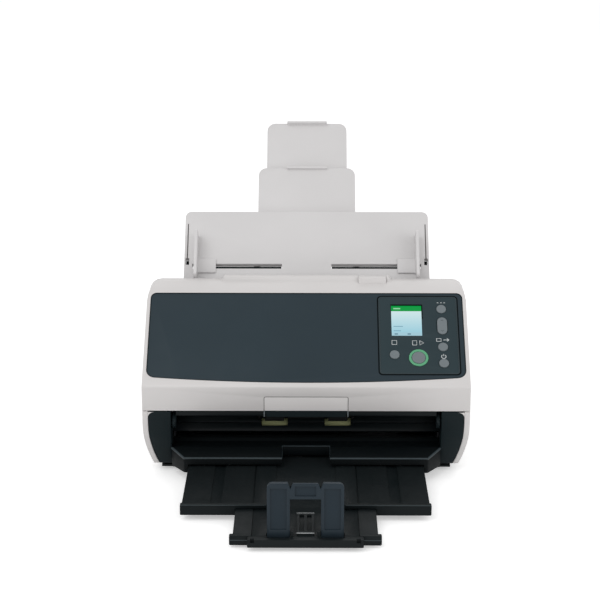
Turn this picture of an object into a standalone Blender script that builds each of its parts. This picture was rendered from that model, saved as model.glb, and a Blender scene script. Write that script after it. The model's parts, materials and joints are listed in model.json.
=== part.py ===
"""A sheet fed document scanner: a base, a cover that opens forward, a feed chute and a folding stacker."""

import math

import bmesh
import bpy
from mathutils import Matrix, Vector

# All sizes are in metres. X runs to the right, Y to the back and Z up. Y is 0 at the front of the cover.
GAP = 0.0003  # between pieces that touch or slide

# Body
BODY_WIDTH = 0.300
BODY_DEPTH = 0.170
SIDE_WALL = 0.005
SHELL_WALL = 0.003
BASE_FLOOR = 0.008  # lower edge of the side covers
SIDE_CURVE_TOP = 0.050  # below this height the sides curve inwards
SIDE_CURVE_RADIUS = 0.1025
FRONT_SETBACK = 0.008  # how far the front leans back at its foot
FRONT_KNEE = 0.038
REAR_TOP = 0.132
REAR_SLOPE_TOP = 0.146
REAR_CORNER = 0.006
FOOT_CORNER = 0.008
PAN_HALF_WIDTH = BODY_WIDTH / 2 - 0.016
PAN_FLOOR = 0.003
PAN_THICKNESS = 0.002
FOOT_RADIUS = 0.009
FOOT_X = PAN_HALF_WIDTH - 0.014

# Paper path: a plane that climbs from the exit to the chute
PATH_Y = 0.022
PATH_Z = 0.036
PATH_ANGLE = math.radians(50.3)
LOWER_GUIDE_OUT = -0.001
UPPER_GUIDE_OUT = 0.0015
GUIDE_THICKNESS = 0.002
LOWER_GUIDE_END = 0.128
LOWER_GUIDE_HALF_WIDTH = BODY_WIDTH / 2 - 0.007
THROAT_HALF_WIDTH = BODY_WIDTH / 2 - 0.0125
RIB_WIDTH = 0.0012
RIB_HEIGHT = 0.0005
RIB_PITCH = 0.028
RIB_COUNT = 4

# Cover hinge
HINGE_Y = 0.007
HINGE_Z = 0.050
HINGE_ROUND = 0.013
HINGE_PIN_RADIUS = 0.004
HINGE_EYE_RADIUS = 0.0065

# Cover
BAND_BOTTOM = 0.0624
PANEL_Y = 0.003
PANEL_Z = 0.0882
PANEL_ANGLE = math.radians(40)
PANEL_LENGTH = 0.099
PANEL_RIM = 0.0036
PANEL_BOTTOM = 0.0007
PANEL_SAG = 0.0058
PANEL_THICKNESS = 0.0023
RIDGE_Y = 0.095
RIDGE_Z = 0.1585
HUMP_Z = 0.1625
HUMP_DEPTH = 0.0085
HUMP_HALF_WIDTH = 0.078
HUMP_SLOPE = 0.003
COVER_CORNER = 0.012
COVER_BACK = 0.140
CAP_HALF_WIDTH = 0.0383
CAP_TOP = 0.0758
TRIM_BOTTOM = 0.057
TRIM_DEPTH = 0.014

# Operator panel, in the plane of the cover's face: X, then up the slope
OPERATOR_RIGHT = BODY_WIDTH / 2 - 0.0085
OPERATOR_LEFT = OPERATOR_RIGHT - 0.0746
OPERATOR_LOW = 0.0095
OPERATOR_HIGH = 0.0953
OPERATOR_CORNER = 0.005
SCREEN_LEFT = OPERATOR_LEFT + 0.0121
SCREEN_RIGHT = SCREEN_LEFT + 0.029
SCREEN_LOW = 0.0515
SCREEN_HIGH = 0.0854
BUTTON_TRAVEL = 0.0008
BUTTON_RADIUS = 0.0046
BUTTON_HEIGHT = 0.0056
BUTTON_PROUD = 0.0007
BUTTONS = {
    "menu_button": (OPERATOR_RIGHT - 0.0152, 0.0809),
    "manual_feed_button": (OPERATOR_RIGHT - 0.0151, 0.0392),
    "power_button": (OPERATOR_RIGHT - 0.0149, 0.0216),
    "stop_button": (OPERATOR_LEFT + 0.0146, 0.0308),
}
ROCKER_PLACE = (OPERATOR_RIGHT - 0.0150, 0.0622)
ROCKER_LENGTH = 0.0185
SCAN_PLACE = (OPERATOR_LEFT + 0.0366, 0.0275)
SCAN_RADIUS = 0.0063
SCAN_RING_RADIUS = 0.009
BOARD_DROP = 0.0061
BOARD_THICKNESS = 0.0015

# Pillars
PILLAR_INNER = BODY_WIDTH / 2 - 0.026
PILLAR_DEPTH = 0.0215
PILLAR_CORNER = 0.006

# Rollers: place along the path, radius, middle of each tyre and its width
SHAFT_RADIUS = 0.0025
EJECT_ALONG = 0.011
EJECT_RADIUS = 0.008
EJECT_TYRE = 0.0294
EJECT_TYRE_WIDTH = 0.024
FEED_ALONG = 0.084
FEED_RADIUS = 0.008
FEED_TYRE = 0.032
FEED_TYRE_WIDTH = 0.022
PICK_ALONG = 0.117
PICK_RADIUS = 0.011
PICK_TYRE = 0.017
PICK_TYRE_WIDTH = 0.018
EJECT_IDLER_RADIUS = 0.004
FEED_IDLER_RADIUS = 0.006
BRAKE_RADIUS = 0.010
IDLER_SHAFT_RADIUS = 0.0015
IDLER_SHAFT_END = 0.006
SHAFT_LEFT = PILLAR_INNER + 0.0025
PULLEY_RADIUS = 0.007
MOTOR_PULLEY_RADIUS = 0.005
PULLEY_START = PILLAR_INNER + 0.0032
PULLEY_WIDTH = 0.006
BELT_WIDTH = 0.005
BELT_THICKNESS = 0.0012
GEAR_MODULE = 0.00075
GEAR_START = PILLAR_INNER + 0.0025
GEAR_WIDTH = 0.005
PICK_TEETH = 18
IDLER_TEETH = 30
PINION_TEETH = 12
IDLER_GEAR_BEARING = math.radians(-40)
PINION_BEARING = math.radians(-60)

# Release lever: its shaft behind the throat, its cap in the ridge, a finger beside each edge of the sheet
LEVER_Y = 0.0915
LEVER_Z = 0.1480
LEVER_LEFT = 0.0494
LEVER_RIGHT = 0.0756
LEVER_SHAFT_RADIUS = 0.002
LEVER_BEARING_X = PILLAR_INNER - 0.0145
FINGER_X = THROAT_HALF_WIDTH - 0.004

# Scanning heads
HEAD_HALF_WIDTH = PILLAR_INNER - 0.012
HEAD_DEPTH = 0.020
GLASS_HALF_WIDTH = HEAD_HALF_WIDTH - 0.002
GLASS_THICKNESS = 0.0018
LOWER_HEAD_LOW = 0.032
LOWER_HEAD_HIGH = 0.060
UPPER_HEAD_LOW = 0.050
UPPER_HEAD_HIGH = 0.074
GLASS_EDGE = 0.006

# Chassis and drive
CHASSIS_HALF_WIDTH = PILLAR_INNER - 0.0002
CHASSIS_THICKNESS = 0.0015
DECK_HEIGHT = 0.017
CHASSIS_BACK = BODY_DEPTH - 0.010
MOTOR_Y = 0.118
MOTOR_Z = 0.060
FEED_MOTOR_RADIUS = 0.017
FEED_MOTOR_LENGTH = 0.038
PICK_MOTOR_RADIUS = 0.0135
PICK_MOTOR_LENGTH = 0.030

# Stacker: a drawer, two extensions and a folding stopper
TRAY_FRONT = -0.018
TRAY_TAPER = 0.0127
TRAY_FRONT_TOP = 0.0235
TRAY_BACK_TOP = 0.0265
TRAY_BOTTOM = 0.009
CHANNEL_TOP = 0.0168
NOTCH_HALF_WIDTH = 0.022
NOTCH_BACK = 0.0055
PLATE_FRONT = -0.105
PLATE_BACK = 0.015
PLATE_HALF_WIDTH = PILLAR_INNER - 0.01675
PLATE_LIP_HALF_WIDTH = PLATE_HALF_WIDTH + 0.0015
PLATE_LIP_DEPTH = 0.004
PLATE_TOP = 0.015
PLATE_BOTTOM = 0.0055
PLATE_SKIN = 0.0037
PLATE_TRAVEL = 0.0825
STOPPER_BAY_HALF_WIDTH = 0.0335
STOPPER_BAY_BACK = -0.060
FIRST_FRONT = -0.160
FIRST_BACK = -0.075
FIRST_HALF_WIDTH = 0.06075
FIRST_LIP_HALF_WIDTH = 0.06375
FIRST_LIP_DEPTH = 0.0045
FIRST_LIP_BOTTOM = 0.0024
FIRST_THICKNESS = 0.0051
FIRST_TRAVEL = 0.050
SECOND_FRONT = -0.168
SECOND_BACK = -0.100
SECOND_HALF_WIDTH = 0.045
SECOND_BAR_HALF_WIDTH = 0.0485
SECOND_TOP = 0.0106
SECOND_THICKNESS = 0.0023
SECOND_BAR_BOTTOM = 0.0038
SECOND_TRAVEL = 0.030
STOPPER_Y = -0.1582
STOPPER_PIVOT_Z = 0.0129
STOPPER_THICKNESS = 0.004
STOPPER_HALF_WIDTH = 0.032
STOPPER_WINDOW = 0.013
STOPPER_FOOT = 0.0092
STOPPER_TOP = 0.058
STOPPER_BRIDGE = 0.044
STOPPER_BORDER = 0.0026

# Chute, in the plane of the paper path: X, then along the path
CHUTE_HALF_WIDTH = PILLAR_INNER - 0.005
CHUTE_OUT = -0.0022
CHUTE_THICKNESS = 0.0068
CHUTE_EAR_HALF_WIDTH = BODY_WIDTH / 2 - SIDE_WALL - 2 * GAP
CHUTE_EAR_TOP = 0.1495
CHUTE_TOP = 0.2263
CHUTE_CORNER = 0.006
GROOVE_INSET = 0.0030
GUIDE_INNER = CHUTE_HALF_WIDTH - 0.0135
GUIDE_WALL = 0.003
GUIDE_LOW = 0.1415
GUIDE_HIGH = 0.200
GUIDE_HEIGHT = 0.018
GUIDE_LEAN = 0.0105
GUIDE_TRAVEL = 0.075
GUIDE_SLOT_LOW = 0.165
GUIDE_SLOT_HIGH = 0.170
RAIL_WIDTH = 0.003
CHUTE_FIRST_HALF_WIDTH = 0.048
CHUTE_FIRST_LOW = 0.205
CHUTE_FIRST_HIGH = CHUTE_FIRST_LOW + 0.0736
CHUTE_SECOND_HALF_WIDTH = 0.040
CHUTE_SECOND_LOW = CHUTE_FIRST_HIGH - 0.0176
CHUTE_SECOND_HIGH = CHUTE_SECOND_LOW + 0.0699
CHUTE_EXTENSION_THICKNESS = 0.003
CHUTE_LIP = 0.002

# Rear connectors: middle X, width, bottom Z, height
DC_INLET = (-0.095, 0.011, 0.032, 0.011)
DATA_PORTS = ((-0.066, 0.0125, 0.032, 0.0115), (-0.038, 0.0160, 0.032, 0.0140))
MAIN_BOARD_THICKNESS = 0.0016

HALF_WIDTH = BODY_WIDTH / 2
COVER_INSIDE = HALF_WIDTH - SHELL_WALL - 0.0002
LEVEL = Matrix.Identity(4)
VIEWS = {
    # how a flat outline is laid: its own X, Y and thickness in the piece's frame
    "side": Matrix(((0, 0, 1, 0), (1, 0, 0, 0), (0, 1, 0, 0), (0, 0, 0, 1))),
    "front": Matrix(((1, 0, 0, 0), (0, 0, -1, 0), (0, 1, 0, 0), (0, 0, 0, 1))),
    "top": Matrix.Identity(4),
}
THICKNESS_AXIS = {"side": Vector((1, 0, 0)), "front": Vector((0, 1, 0)), "top": Vector((0, 0, 1))}

for old in list(bpy.data.objects):
    bpy.data.objects.remove(old)
parts = bpy.data.collections.new("Document scanner")
cutters = bpy.data.collections.new("Cutters")
bpy.context.scene.collection.children.link(parts)
bpy.context.scene.collection.children.link(cutters)
cutters.hide_render = True


# ---------------------------------------------------------------- places


def slope(y, z, angle):
    """A frame whose Y climbs a slope and whose Z points out of it."""
    return Matrix.Translation((0, y, z)) @ Matrix.Rotation(angle, 4, "X")


PATH = slope(PATH_Y, PATH_Z, PATH_ANGLE)
PANEL = slope(PANEL_Y, PANEL_Z, PANEL_ANGLE)


def on_slope(frame, along, out):
    point = frame @ Vector((0, along, out))
    return point.y, point.z


def path(along, out=0.0):
    return on_slope(PATH, along, out)


def panel(along, out=0.0):
    return on_slope(PANEL, along, out)


def path_at_height(z, out=0.0):
    along = (z - PATH_Z - out * math.cos(PATH_ANGLE)) / math.sin(PATH_ANGLE)
    return path(along, out)


def panel_at_front(y, out=0.0):
    along = (y - PANEL_Y + out * math.sin(PANEL_ANGLE)) / math.cos(PANEL_ANGLE)
    return panel(along, out)


# ---------------------------------------------------------------- outlines


def arc(centre, radius, start, end, steps):
    """Points on an arc, in degrees."""
    found = []
    for step in range(steps + 1):
        angle = math.radians(start + (end - start) * step / steps)
        found.append((centre[0] + radius * math.cos(angle), centre[1] + radius * math.sin(angle)))
    return found


def circle(centre, radius, steps=24):
    return arc(centre, radius, 0, 360 - 360 / steps, steps - 1)


def outline(corners, steps=4):
    """A closed outline. A corner with a third number is rounded to that radius."""
    points = []
    for index, corner in enumerate(corners):
        if len(corner) == 2:
            points.append(corner)
            continue
        here = Vector(corner[:2])
        before = Vector(corners[index - 1][:2]) - here
        after = Vector(corners[(index + 1) % len(corners)][:2]) - here
        before.normalize()
        after.normalize()
        half_angle = before.angle(after) / 2
        reach = corner[2] / math.tan(half_angle)
        centre = here + (before + after).normalized() * corner[2] / math.sin(half_angle)
        start = here + before * reach - centre
        turn = (here + after * reach - centre).angle_signed(start)
        for step in range(steps + 1):
            spot = centre + Matrix.Rotation(turn * step / steps, 2) @ start
            points.append((spot.x, spot.y))
    return points


def rectangle(x0, y0, x1, y1, radius=0.0):
    corners = [(x0, y0), (x1, y0), (x1, y1), (x0, y1)]
    if radius:
        corners = [(*corner, radius) for corner in corners]
    return outline(corners)


def both_sides(right_half):
    """The right half of an outline, from the bottom middle to the top middle, and its mirror image."""
    left_half = [(-point[0], *point[1:]) for point in reversed(right_half) if point[0]]
    return outline(right_half + left_half)


def side_curve(inset, bottom, steps=6):
    """The right side of the base seen from the front, from the curve's top down."""
    points = []
    for step in range(steps + 1):
        z = SIDE_CURVE_TOP + (bottom - SIDE_CURVE_TOP) * step / steps
        drop = SIDE_CURVE_RADIUS - math.sqrt(SIDE_CURVE_RADIUS**2 - (SIDE_CURVE_TOP - z) ** 2)
        points.append((HALF_WIDTH - inset - drop, z))
    return points


def gear_outline(centre, teeth, phase):
    """Straight-sided teeth, a little thin so that they run free."""
    pitch_radius = GEAR_MODULE * teeth / 2
    tooth = 2 * math.pi / teeth
    steps = ((-0.36, -1.2), (-0.13, 0.9), (0.13, 0.9), (0.36, -1.2))
    points = []
    for index in range(teeth):
        for turn, height in steps:
            angle = phase + (index + turn) * tooth
            radius = pitch_radius + height * GEAR_MODULE
            points.append((centre[0] + radius * math.cos(angle), centre[1] + radius * math.sin(angle)))
    return points


def belt_outline(wheels, offset):
    """A loop round wheels (y, z, radius) that are listed anticlockwise."""
    bearings = []
    for index, (y, z, radius) in enumerate(wheels):
        next_y, next_z, next_radius = wheels[(index + 1) % len(wheels)]
        distance = math.hypot(next_y - y, next_z - z)
        heading = math.atan2(next_z - z, next_y - y)
        bearings.append(math.degrees(heading - math.acos((radius - next_radius) / distance)))
    points = []
    for index, (y, z, radius) in enumerate(wheels):
        start = bearings[index - 1]
        end = bearings[index]
        while end < start:
            end += 360
        points += arc((y, z), radius + offset, start, end, 8)
    return points


# ---------------------------------------------------------------- solids


def finish(name, colour, roughness, metallic=0.0):
    material = bpy.data.materials.new(name)
    material.use_nodes = True
    shader = material.node_tree.nodes["Principled BSDF"]
    shader.inputs["Base Color"].default_value = (*colour, 1)
    shader.inputs["Roughness"].default_value = roughness
    shader.inputs["Metallic"].default_value = metallic
    material.diffuse_color = (*colour, 1)
    return material


WHITE = finish("Warm white shell", (0.60, 0.59, 0.58), 0.45)
SLATE = finish("Slate face", (0.040, 0.052, 0.062), 0.5)
PILLAR_GREY = finish("Dark pillar", (0.012, 0.018, 0.022), 0.5)
TRAY_BLACK = finish("Tray black", (0.010, 0.013, 0.012), 0.6)
STOPPER_GREY = finish("Stopper grey", (0.032, 0.040, 0.048), 0.5)
GUIDE_GREY = finish("Guide grey", (0.10, 0.10, 0.11), 0.5)
KHAKI = finish("Khaki rubber", (0.13, 0.14, 0.07), 0.9)
RUBBER = finish("Black rubber", (0.02, 0.02, 0.02), 0.9)
STEEL = finish("Steel", (0.55, 0.55, 0.56), 0.35, 1.0)
GLASS = finish("Glass", (0.6, 0.7, 0.7), 0.05)
SCREEN = finish("Screen", (0.45, 0.72, 0.78), 0.2)
BUTTON_GREY = finish("Button grey", (0.22, 0.24, 0.25), 0.5)
RING_GREEN = finish("Ring green", (0.08, 0.38, 0.18), 0.3)
BOARD_GREEN = finish("Board green", (0.02, 0.15, 0.06), 0.6)
CHUTE_GREY = finish("Chute grey", (0.56, 0.56, 0.55), 0.45)
NYLON = finish("Nylon", (0.65, 0.63, 0.58), 0.5)


def new_piece(name, mesh, place, material):
    """A part when it has a material, and otherwise a cutter or a shape to join."""
    piece = bpy.data.objects.new(name, mesh)
    piece.matrix_world = place
    if material:
        parts.objects.link(piece)
        mesh.materials.clear()
        mesh.materials.append(material)
    else:
        cutters.objects.link(piece)
        piece.hide_render = True
        piece.display_type = "WIRE"
    hang(root, LEVEL, piece)
    return piece


def hang(carrier, carrier_place, *pieces):
    for piece in pieces:
        piece.parent = carrier
        piece.matrix_parent_inverse = carrier_place.inverted()


def pivot(name, place):
    """An empty on a joint's axis, which carries the pieces that move with it."""
    empty = bpy.data.objects.new(name, None)
    parts.objects.link(empty)
    empty.matrix_world = place
    hang(root, LEVEL, empty)
    return empty


def move_together(name, place, *pieces):
    hang(pivot(name, place), place, *pieces)


def mesh_of(name, shape):
    mesh = bpy.data.meshes.new(name)
    shape.to_mesh(mesh)
    shape.free()
    return mesh


def blocks(name, boxes, place=LEVEL, material=None):
    """Separate boxes in one object, each from its lowest to its highest corner."""
    shape = bmesh.new()
    for low, high in boxes:
        size = Vector(high) - Vector(low)
        middle = (Vector(high) + Vector(low)) / 2
        bmesh.ops.create_cube(shape, size=1, matrix=Matrix.Translation(middle) @ Matrix.Diagonal((*size, 1)))
    return new_piece(name, mesh_of(name, shape), place, material)


def block(name, low, high, place=LEVEL, material=None):
    return blocks(name, [(low, high)], place, material)


def drums(name, drum_list, axis, place=LEVEL, material=None, sides=24):
    """Separate cylinders in one object: start of the axis line, radius and length."""
    turn = Matrix.Rotation(math.radians(90), 4, "Y") if axis == "X" else LEVEL
    shape = bmesh.new()
    for start, radius, length in drum_list:
        middle = Matrix.Translation(start) @ turn @ Matrix.Translation((0, 0, length / 2))
        bmesh.ops.create_cone(
            shape, cap_ends=True, segments=sides, radius1=radius, radius2=radius, depth=length, matrix=middle
        )
    piece = new_piece(name, mesh_of(name, shape), place, material)
    smooth(piece)
    return piece


def slab(name, outlines, low, high, view, place=LEVEL, material=None):
    """A flat outline, or one with holes, with its thickness from low to high."""
    half = THICKNESS_AXIS[view] * (low + high) / 2
    spot = place @ Matrix.Translation(half) @ VIEWS[view]
    if len(outlines) == 1:
        mesh = plain_slab(name, outlines[0], high - low)
    else:
        mesh = slab_with_holes(name, outlines, high - low, spot)
    piece = new_piece(name, mesh, spot, material)
    smooth(piece)
    return piece


def plain_slab(name, points, thickness):
    shape = bmesh.new()
    face = shape.faces.new([shape.verts.new((x, y, -thickness / 2)) for x, y in points])
    grown = bmesh.ops.extrude_face_region(shape, geom=[face])["geom"]
    corners = [part for part in grown if isinstance(part, bmesh.types.BMVert)]
    bmesh.ops.translate(shape, verts=corners, vec=(0, 0, thickness))
    bmesh.ops.remove_doubles(shape, verts=shape.verts, dist=0.00001)
    bmesh.ops.recalc_face_normals(shape, faces=shape.faces)
    return mesh_of(name, shape)


def slab_with_holes(name, outlines, thickness, spot):
    drawing = bpy.data.curves.new(name, "CURVE")
    drawing.dimensions = "2D"
    drawing.fill_mode = "BOTH"
    drawing.extrude = thickness / 2
    for points in outlines:
        spline = drawing.splines.new("POLY")
        spline.points.add(len(points) - 1)
        for corner, (x, y) in zip(spline.points, points):
            corner.co = (x, y, 0, 1)
        spline.use_cyclic_u = True
    sketch = bpy.data.objects.new(name + " sketch", drawing)
    cutters.objects.link(sketch)
    sketch.matrix_world = spot
    graph = bpy.context.evaluated_depsgraph_get()
    mesh = bpy.data.meshes.new_from_object(sketch.evaluated_get(graph))
    bpy.data.objects.remove(sketch)
    shape = bmesh.new()
    shape.from_mesh(mesh)
    bmesh.ops.remove_doubles(shape, verts=shape.verts, dist=0.00001)
    bmesh.ops.recalc_face_normals(shape, faces=shape.faces)
    return mesh_of(name, shape)


def turned(name, profile, place, material, steps=18):
    """A solid of revolution: radius and height, down its outer side, about the frame's Z."""
    shape = bmesh.new()
    spots = [shape.verts.new((radius, 0, height)) for radius, height in profile]
    for first, second in zip(spots, spots[1:]):
        shape.edges.new((first, second))
    piece = new_piece(name, mesh_of(name, shape), place, material)
    screw = piece.modifiers.new("Turn", "SCREW")
    screw.axis = "Z"
    screw.steps = steps
    screw.render_steps = steps
    screw.use_merge_vertices = True
    screw.merge_threshold = 0.00005
    smooth(piece)
    return piece


def smooth(piece):
    piece.data.shade_smooth()
    piece.data.set_sharp_from_angle(angle=math.radians(35))


def soften(piece, width, segments=1):
    bevel = piece.modifiers.new("Soft edges", "BEVEL")
    bevel.width = width
    bevel.segments = segments
    bevel.limit_method = "ANGLE"
    bevel.angle_limit = math.radians(50)


def combine(piece, how, *others):
    for other in others:
        step = piece.modifiers.new(how.title(), "BOOLEAN")
        step.operation = how
        step.solver = "EXACT"
        step.object = other
    return piece


def cut(piece, *others):
    return combine(piece, "DIFFERENCE", *others)


def join(piece, *others):
    return combine(piece, "UNION", *others)


def keep_inside(piece, *others):
    return combine(piece, "INTERSECT", *others)


def lying(place, along, out, x=0.0):
    """A frame on a slope whose Z runs along the machine's X, for rollers and shafts."""
    return place @ Matrix.Translation((x, along, out)) @ Matrix.Rotation(math.radians(90), 4, "Y")


root = bpy.data.objects.new("scanner", None)
parts.objects.link(root)


# ---------------------------------------------------------------- shapes that pieces share


def base_outline():
    """The base seen from the right: front edge, hinge round, seam along the paper path, back."""
    reach = math.degrees(math.acos(HINGE_Y / HINGE_ROUND))
    top = HINGE_Z + HINGE_ROUND
    edge = arc((HINGE_Y, HINGE_Z), HINGE_ROUND, 180 - reach, 90, 6)
    back = [
        path_at_height(top, -GAP / 2),
        path_at_height(REAR_SLOPE_TOP, -GAP / 2),
        rear_slope_front(),
        (BODY_DEPTH, REAR_TOP, REAR_CORNER),
        (BODY_DEPTH, BASE_FLOOR, FOOT_CORNER),
        (FRONT_SETBACK, BASE_FLOOR),
        (0.0, FRONT_KNEE),
    ]
    return outline(edge + back)


def rear_slope_front():
    """The rear cover's top edge, just under the chute."""
    under_chute = CHUTE_OUT - CHUTE_THICKNESS
    y, _ = path_at_height(REAR_SLOPE_TOP, under_chute)
    return y + 2 * GAP, REAR_SLOPE_TOP


def cover_outline(wall=0.0):
    """The cover seen from the right: front band, face, ridge, hump, back edge, seam."""
    seam_foot = HINGE_Z + HINGE_ROUND + GAP
    return outline(
        [
            (0.0, BAND_BOTTOM),
            (*panel_at_front(0.0), 0.003),
            panel(PANEL_LENGTH),
            (RIDGE_Y, RIDGE_Z),
            (RIDGE_Y + HUMP_SLOPE, HUMP_Z),
            (RIDGE_Y + HUMP_DEPTH, HUMP_Z),
            path(COVER_BACK, GAP / 2),
            path_at_height(seam_foot, GAP / 2),
            (SHELL_WALL + 0.001, seam_foot),
            (SHELL_WALL + 0.001, BAND_BOTTOM),
        ]
    )


def panel_outline(inset=0.0):
    """The dark face's outline on the slope: a straight top and a bowed lower edge."""
    half = HALF_WIDTH - PANEL_RIM - inset
    top = PANEL_LENGTH - 0.0004 - inset
    low = PANEL_BOTTOM + inset
    steps = 10
    bow = []
    for step in range(1, steps):
        x = half * (2 * step / steps - 1)
        bow.append((x, low + PANEL_SAG * (x / half) ** 2))
    corner = low + PANEL_SAG
    return outline(
        [(-half, top, 0.0055), (-half, corner, 0.008), *bow, (half, corner, 0.008), (half, top, 0.0055)]
    )


# ---------------------------------------------------------------- base


def make_base():
    for side, sign in (("left", -1), ("right", 1)):
        make_side_cover(side, sign)
        make_pillar(side, sign)
    make_rear_cover()
    make_pan()
    make_chassis()
    make_lower_guide()
    make_lower_head()


def make_side_cover(side, sign):
    outer = side_curve(0.0, BASE_FLOOR)
    inner = side_curve(SIDE_WALL, BASE_FLOOR)
    above = REAR_SLOPE_TOP + SHELL_WALL
    band = [(HALF_WIDTH, above), *outer, *reversed(inner), (HALF_WIDTH - SIDE_WALL, above)]
    band = [(sign * x, z) for x, z in band]
    cover = slab(side + "_side_cover", [band], -0.001, BODY_DEPTH + 0.001, "front", material=WHITE)
    profile = slab(side + " side profile", [base_outline()], -0.17, 0.17, "side")
    keep_inside(cover, profile)


def make_pillar(side, sign):
    wall = SIDE_WALL + GAP
    top = HINGE_Z + HINGE_ROUND
    curve = list(reversed(side_curve(wall, BASE_FLOOR)))
    face = [
        (PILLAR_INNER, BASE_FLOOR),
        *curve,
        (HALF_WIDTH - wall, top, PILLAR_CORNER),
        (PILLAR_INNER, top),
    ]
    face = [(sign * point[0], *point[1:]) for point in face]
    pillar = slab(side + "_front_pillar", [outline(face)], -0.001, PILLAR_DEPTH, "front", material=PILLAR_GREY)
    profile = slab(side + " pillar profile", [base_outline()], -0.17, 0.17, "side")
    start = PILLAR_INNER - 0.002 if sign > 0 else -PILLAR_INNER - 0.010
    bore = drums(
        side + " hinge bore", [((start, HINGE_Y, HINGE_Z), HINGE_PIN_RADIUS + GAP, 0.012)], "X", sides=16
    )
    keep_inside(pillar, profile)
    cut(pillar, bore)


def make_rear_cover():
    inside = HALF_WIDTH - SIDE_WALL - GAP
    slope_front = rear_slope_front()
    profile = outline(
        [
            slope_front,
            (BODY_DEPTH, REAR_TOP, REAR_CORNER),
            (BODY_DEPTH, BASE_FLOOR, FOOT_CORNER),
            (BODY_DEPTH - FOOT_CORNER, BASE_FLOOR),
            (BODY_DEPTH - SHELL_WALL, BASE_FLOOR + FOOT_CORNER),
            (BODY_DEPTH - SHELL_WALL, REAR_TOP - SHELL_WALL),
            (slope_front[0], REAR_SLOPE_TOP - SHELL_WALL),
        ]
    )
    cover = slab("rear_cover", [profile], -inside, inside, "side", material=WHITE)
    curve = list(reversed(side_curve(SIDE_WALL + GAP, BASE_FLOOR - 0.001)))
    face = both_sides([(0.0, BASE_FLOOR - 0.001), *curve, (inside + 0.001, SIDE_CURVE_TOP), (inside + 0.001, 0.2), (0.0, 0.2)])
    keep_inside(cover, slab("rear cover face", [face], 0.1, 0.2, "front"))
    vents = []
    for side in (-1, 1):
        for index in range(6):
            x = side * (HEAD_HALF_WIDTH - 0.027) + (index - 2.5) * 0.008
            vents.append(((x - 0.0012, BODY_DEPTH - 0.010, 0.085), (x + 0.0012, BODY_DEPTH + 0.002, 0.115)))
    holes = []
    for x, width, z, height in (DC_INLET, *DATA_PORTS):
        low = (x - width / 2 - GAP, BODY_DEPTH - 0.010, z - GAP)
        holes.append((low, (x + width / 2 + GAP, BODY_DEPTH + 0.002, z + height + GAP)))
    holes.append(((HALF_WIDTH - 0.022, BODY_DEPTH - 0.010, 0.030), (HALF_WIDTH - 0.015, BODY_DEPTH + 0.002, 0.033)))
    cut(cover, blocks("Rear vents", vents), blocks("Connector holes", holes))


def make_pan():
    rail = PLATE_HALF_WIDTH + GAP
    top = PAN_FLOOR + PAN_THICKNESS
    half = [
        (0.0, PAN_FLOOR),
        (PAN_HALF_WIDTH, PAN_FLOOR),
        (PAN_HALF_WIDTH, 0.0120),
        (PAN_HALF_WIDTH - 0.0025, 0.0120),
        (PAN_HALF_WIDTH - 0.0025, top),
        (rail + 0.003, top),
        (rail + 0.003, DECK_HEIGHT - GAP),
        (rail, DECK_HEIGHT - GAP),
        (rail, top),
        (0.0, top),
    ]
    pan = slab("bottom_pan", [both_sides(half)], 0.012, BODY_DEPTH - 0.009, "front", material=TRAY_BLACK)
    slots = []
    for index in range(8):
        x = (index - 3.5) * 0.020
        slots.append(((x - 0.0015, BODY_DEPTH - 0.050, 0.001), (x + 0.0015, BODY_DEPTH - 0.020, 0.010)))
    for side in (-1, 1):
        low_x, high_x = sorted((side * (PAN_HALF_WIDTH - 0.004), side * (PAN_HALF_WIDTH + 0.002)))
        slots.append(((low_x, 0.010, top + 0.0004), (high_x, PILLAR_DEPTH + GAP, 0.0130)))
    cut(pan, blocks("Pan slots", slots))
    for side, x in (("left", -FOOT_X), ("right", FOOT_X)):
        for end, y in (("front", 0.026), ("rear", BODY_DEPTH - 0.020)):
            drums(f"{end}_{side}_foot", [((x, y, 0.0), FOOT_RADIUS, PAN_FLOOR - GAP)], "Z", material=RUBBER, sides=20)


def make_chassis():
    """One bent steel sheet: a deck over the stacker and a side plate at each end."""
    wide = CHASSIS_HALF_WIDTH
    top = 0.150
    half = [
        (0.0, DECK_HEIGHT),
        (wide, DECK_HEIGHT),
        (wide, top),
        (wide - CHASSIS_THICKNESS, top),
        (wide - CHASSIS_THICKNESS, DECK_HEIGHT + CHASSIS_THICKNESS),
        (0.0, DECK_HEIGHT + CHASSIS_THICKNESS),
    ]
    chassis = slab("chassis", [both_sides(half)], 0.020, BODY_DEPTH, "front", material=STEEL)
    under_guide = LOWER_GUIDE_OUT - GUIDE_THICKNESS - GAP
    side = [
        (path(0.004, under_guide)[0], DECK_HEIGHT - 0.001),
        path(0.004, under_guide),
        path(LOWER_GUIDE_END - 0.010, under_guide),
        (CHASSIS_BACK - 0.010, 0.121),
        (CHASSIS_BACK, 0.112),
        (CHASSIS_BACK, DECK_HEIGHT - 0.001),
    ]
    keep_inside(chassis, slab("Chassis profile", [side], -0.17, 0.17, "side"))
    holes = []
    for y, z in (*shaft_places(), (MOTOR_Y, MOTOR_Z), pinion_place()):
        holes.append(((-wide - 0.0062, y, z), SHAFT_RADIUS + GAP, 2 * wide + 0.0124))
    cut(chassis, drums("Shaft holes", holes, "X", sides=12))
    window = slab("Deck window", [rectangle(-0.100, 0.118, 0.060, 0.150, 0.006)], 0.010, 0.025, "top")
    lightening = slab(
        "Left side window", [outline([(0.060, 0.030, 0.006), (0.135, 0.030, 0.006), (0.135, 0.095, 0.006)])],
        -wide - 0.0062, -wide + 0.0138, "side",
    )
    y, z = idler_gear_place()
    stud = drums("Gear stud", [((wide - 0.001, y, z), SHAFT_RADIUS, GEAR_START + GEAR_WIDTH - wide + 0.002)], "X", sides=16)
    cut(chassis, window, lightening)
    join(chassis, stud)


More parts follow.
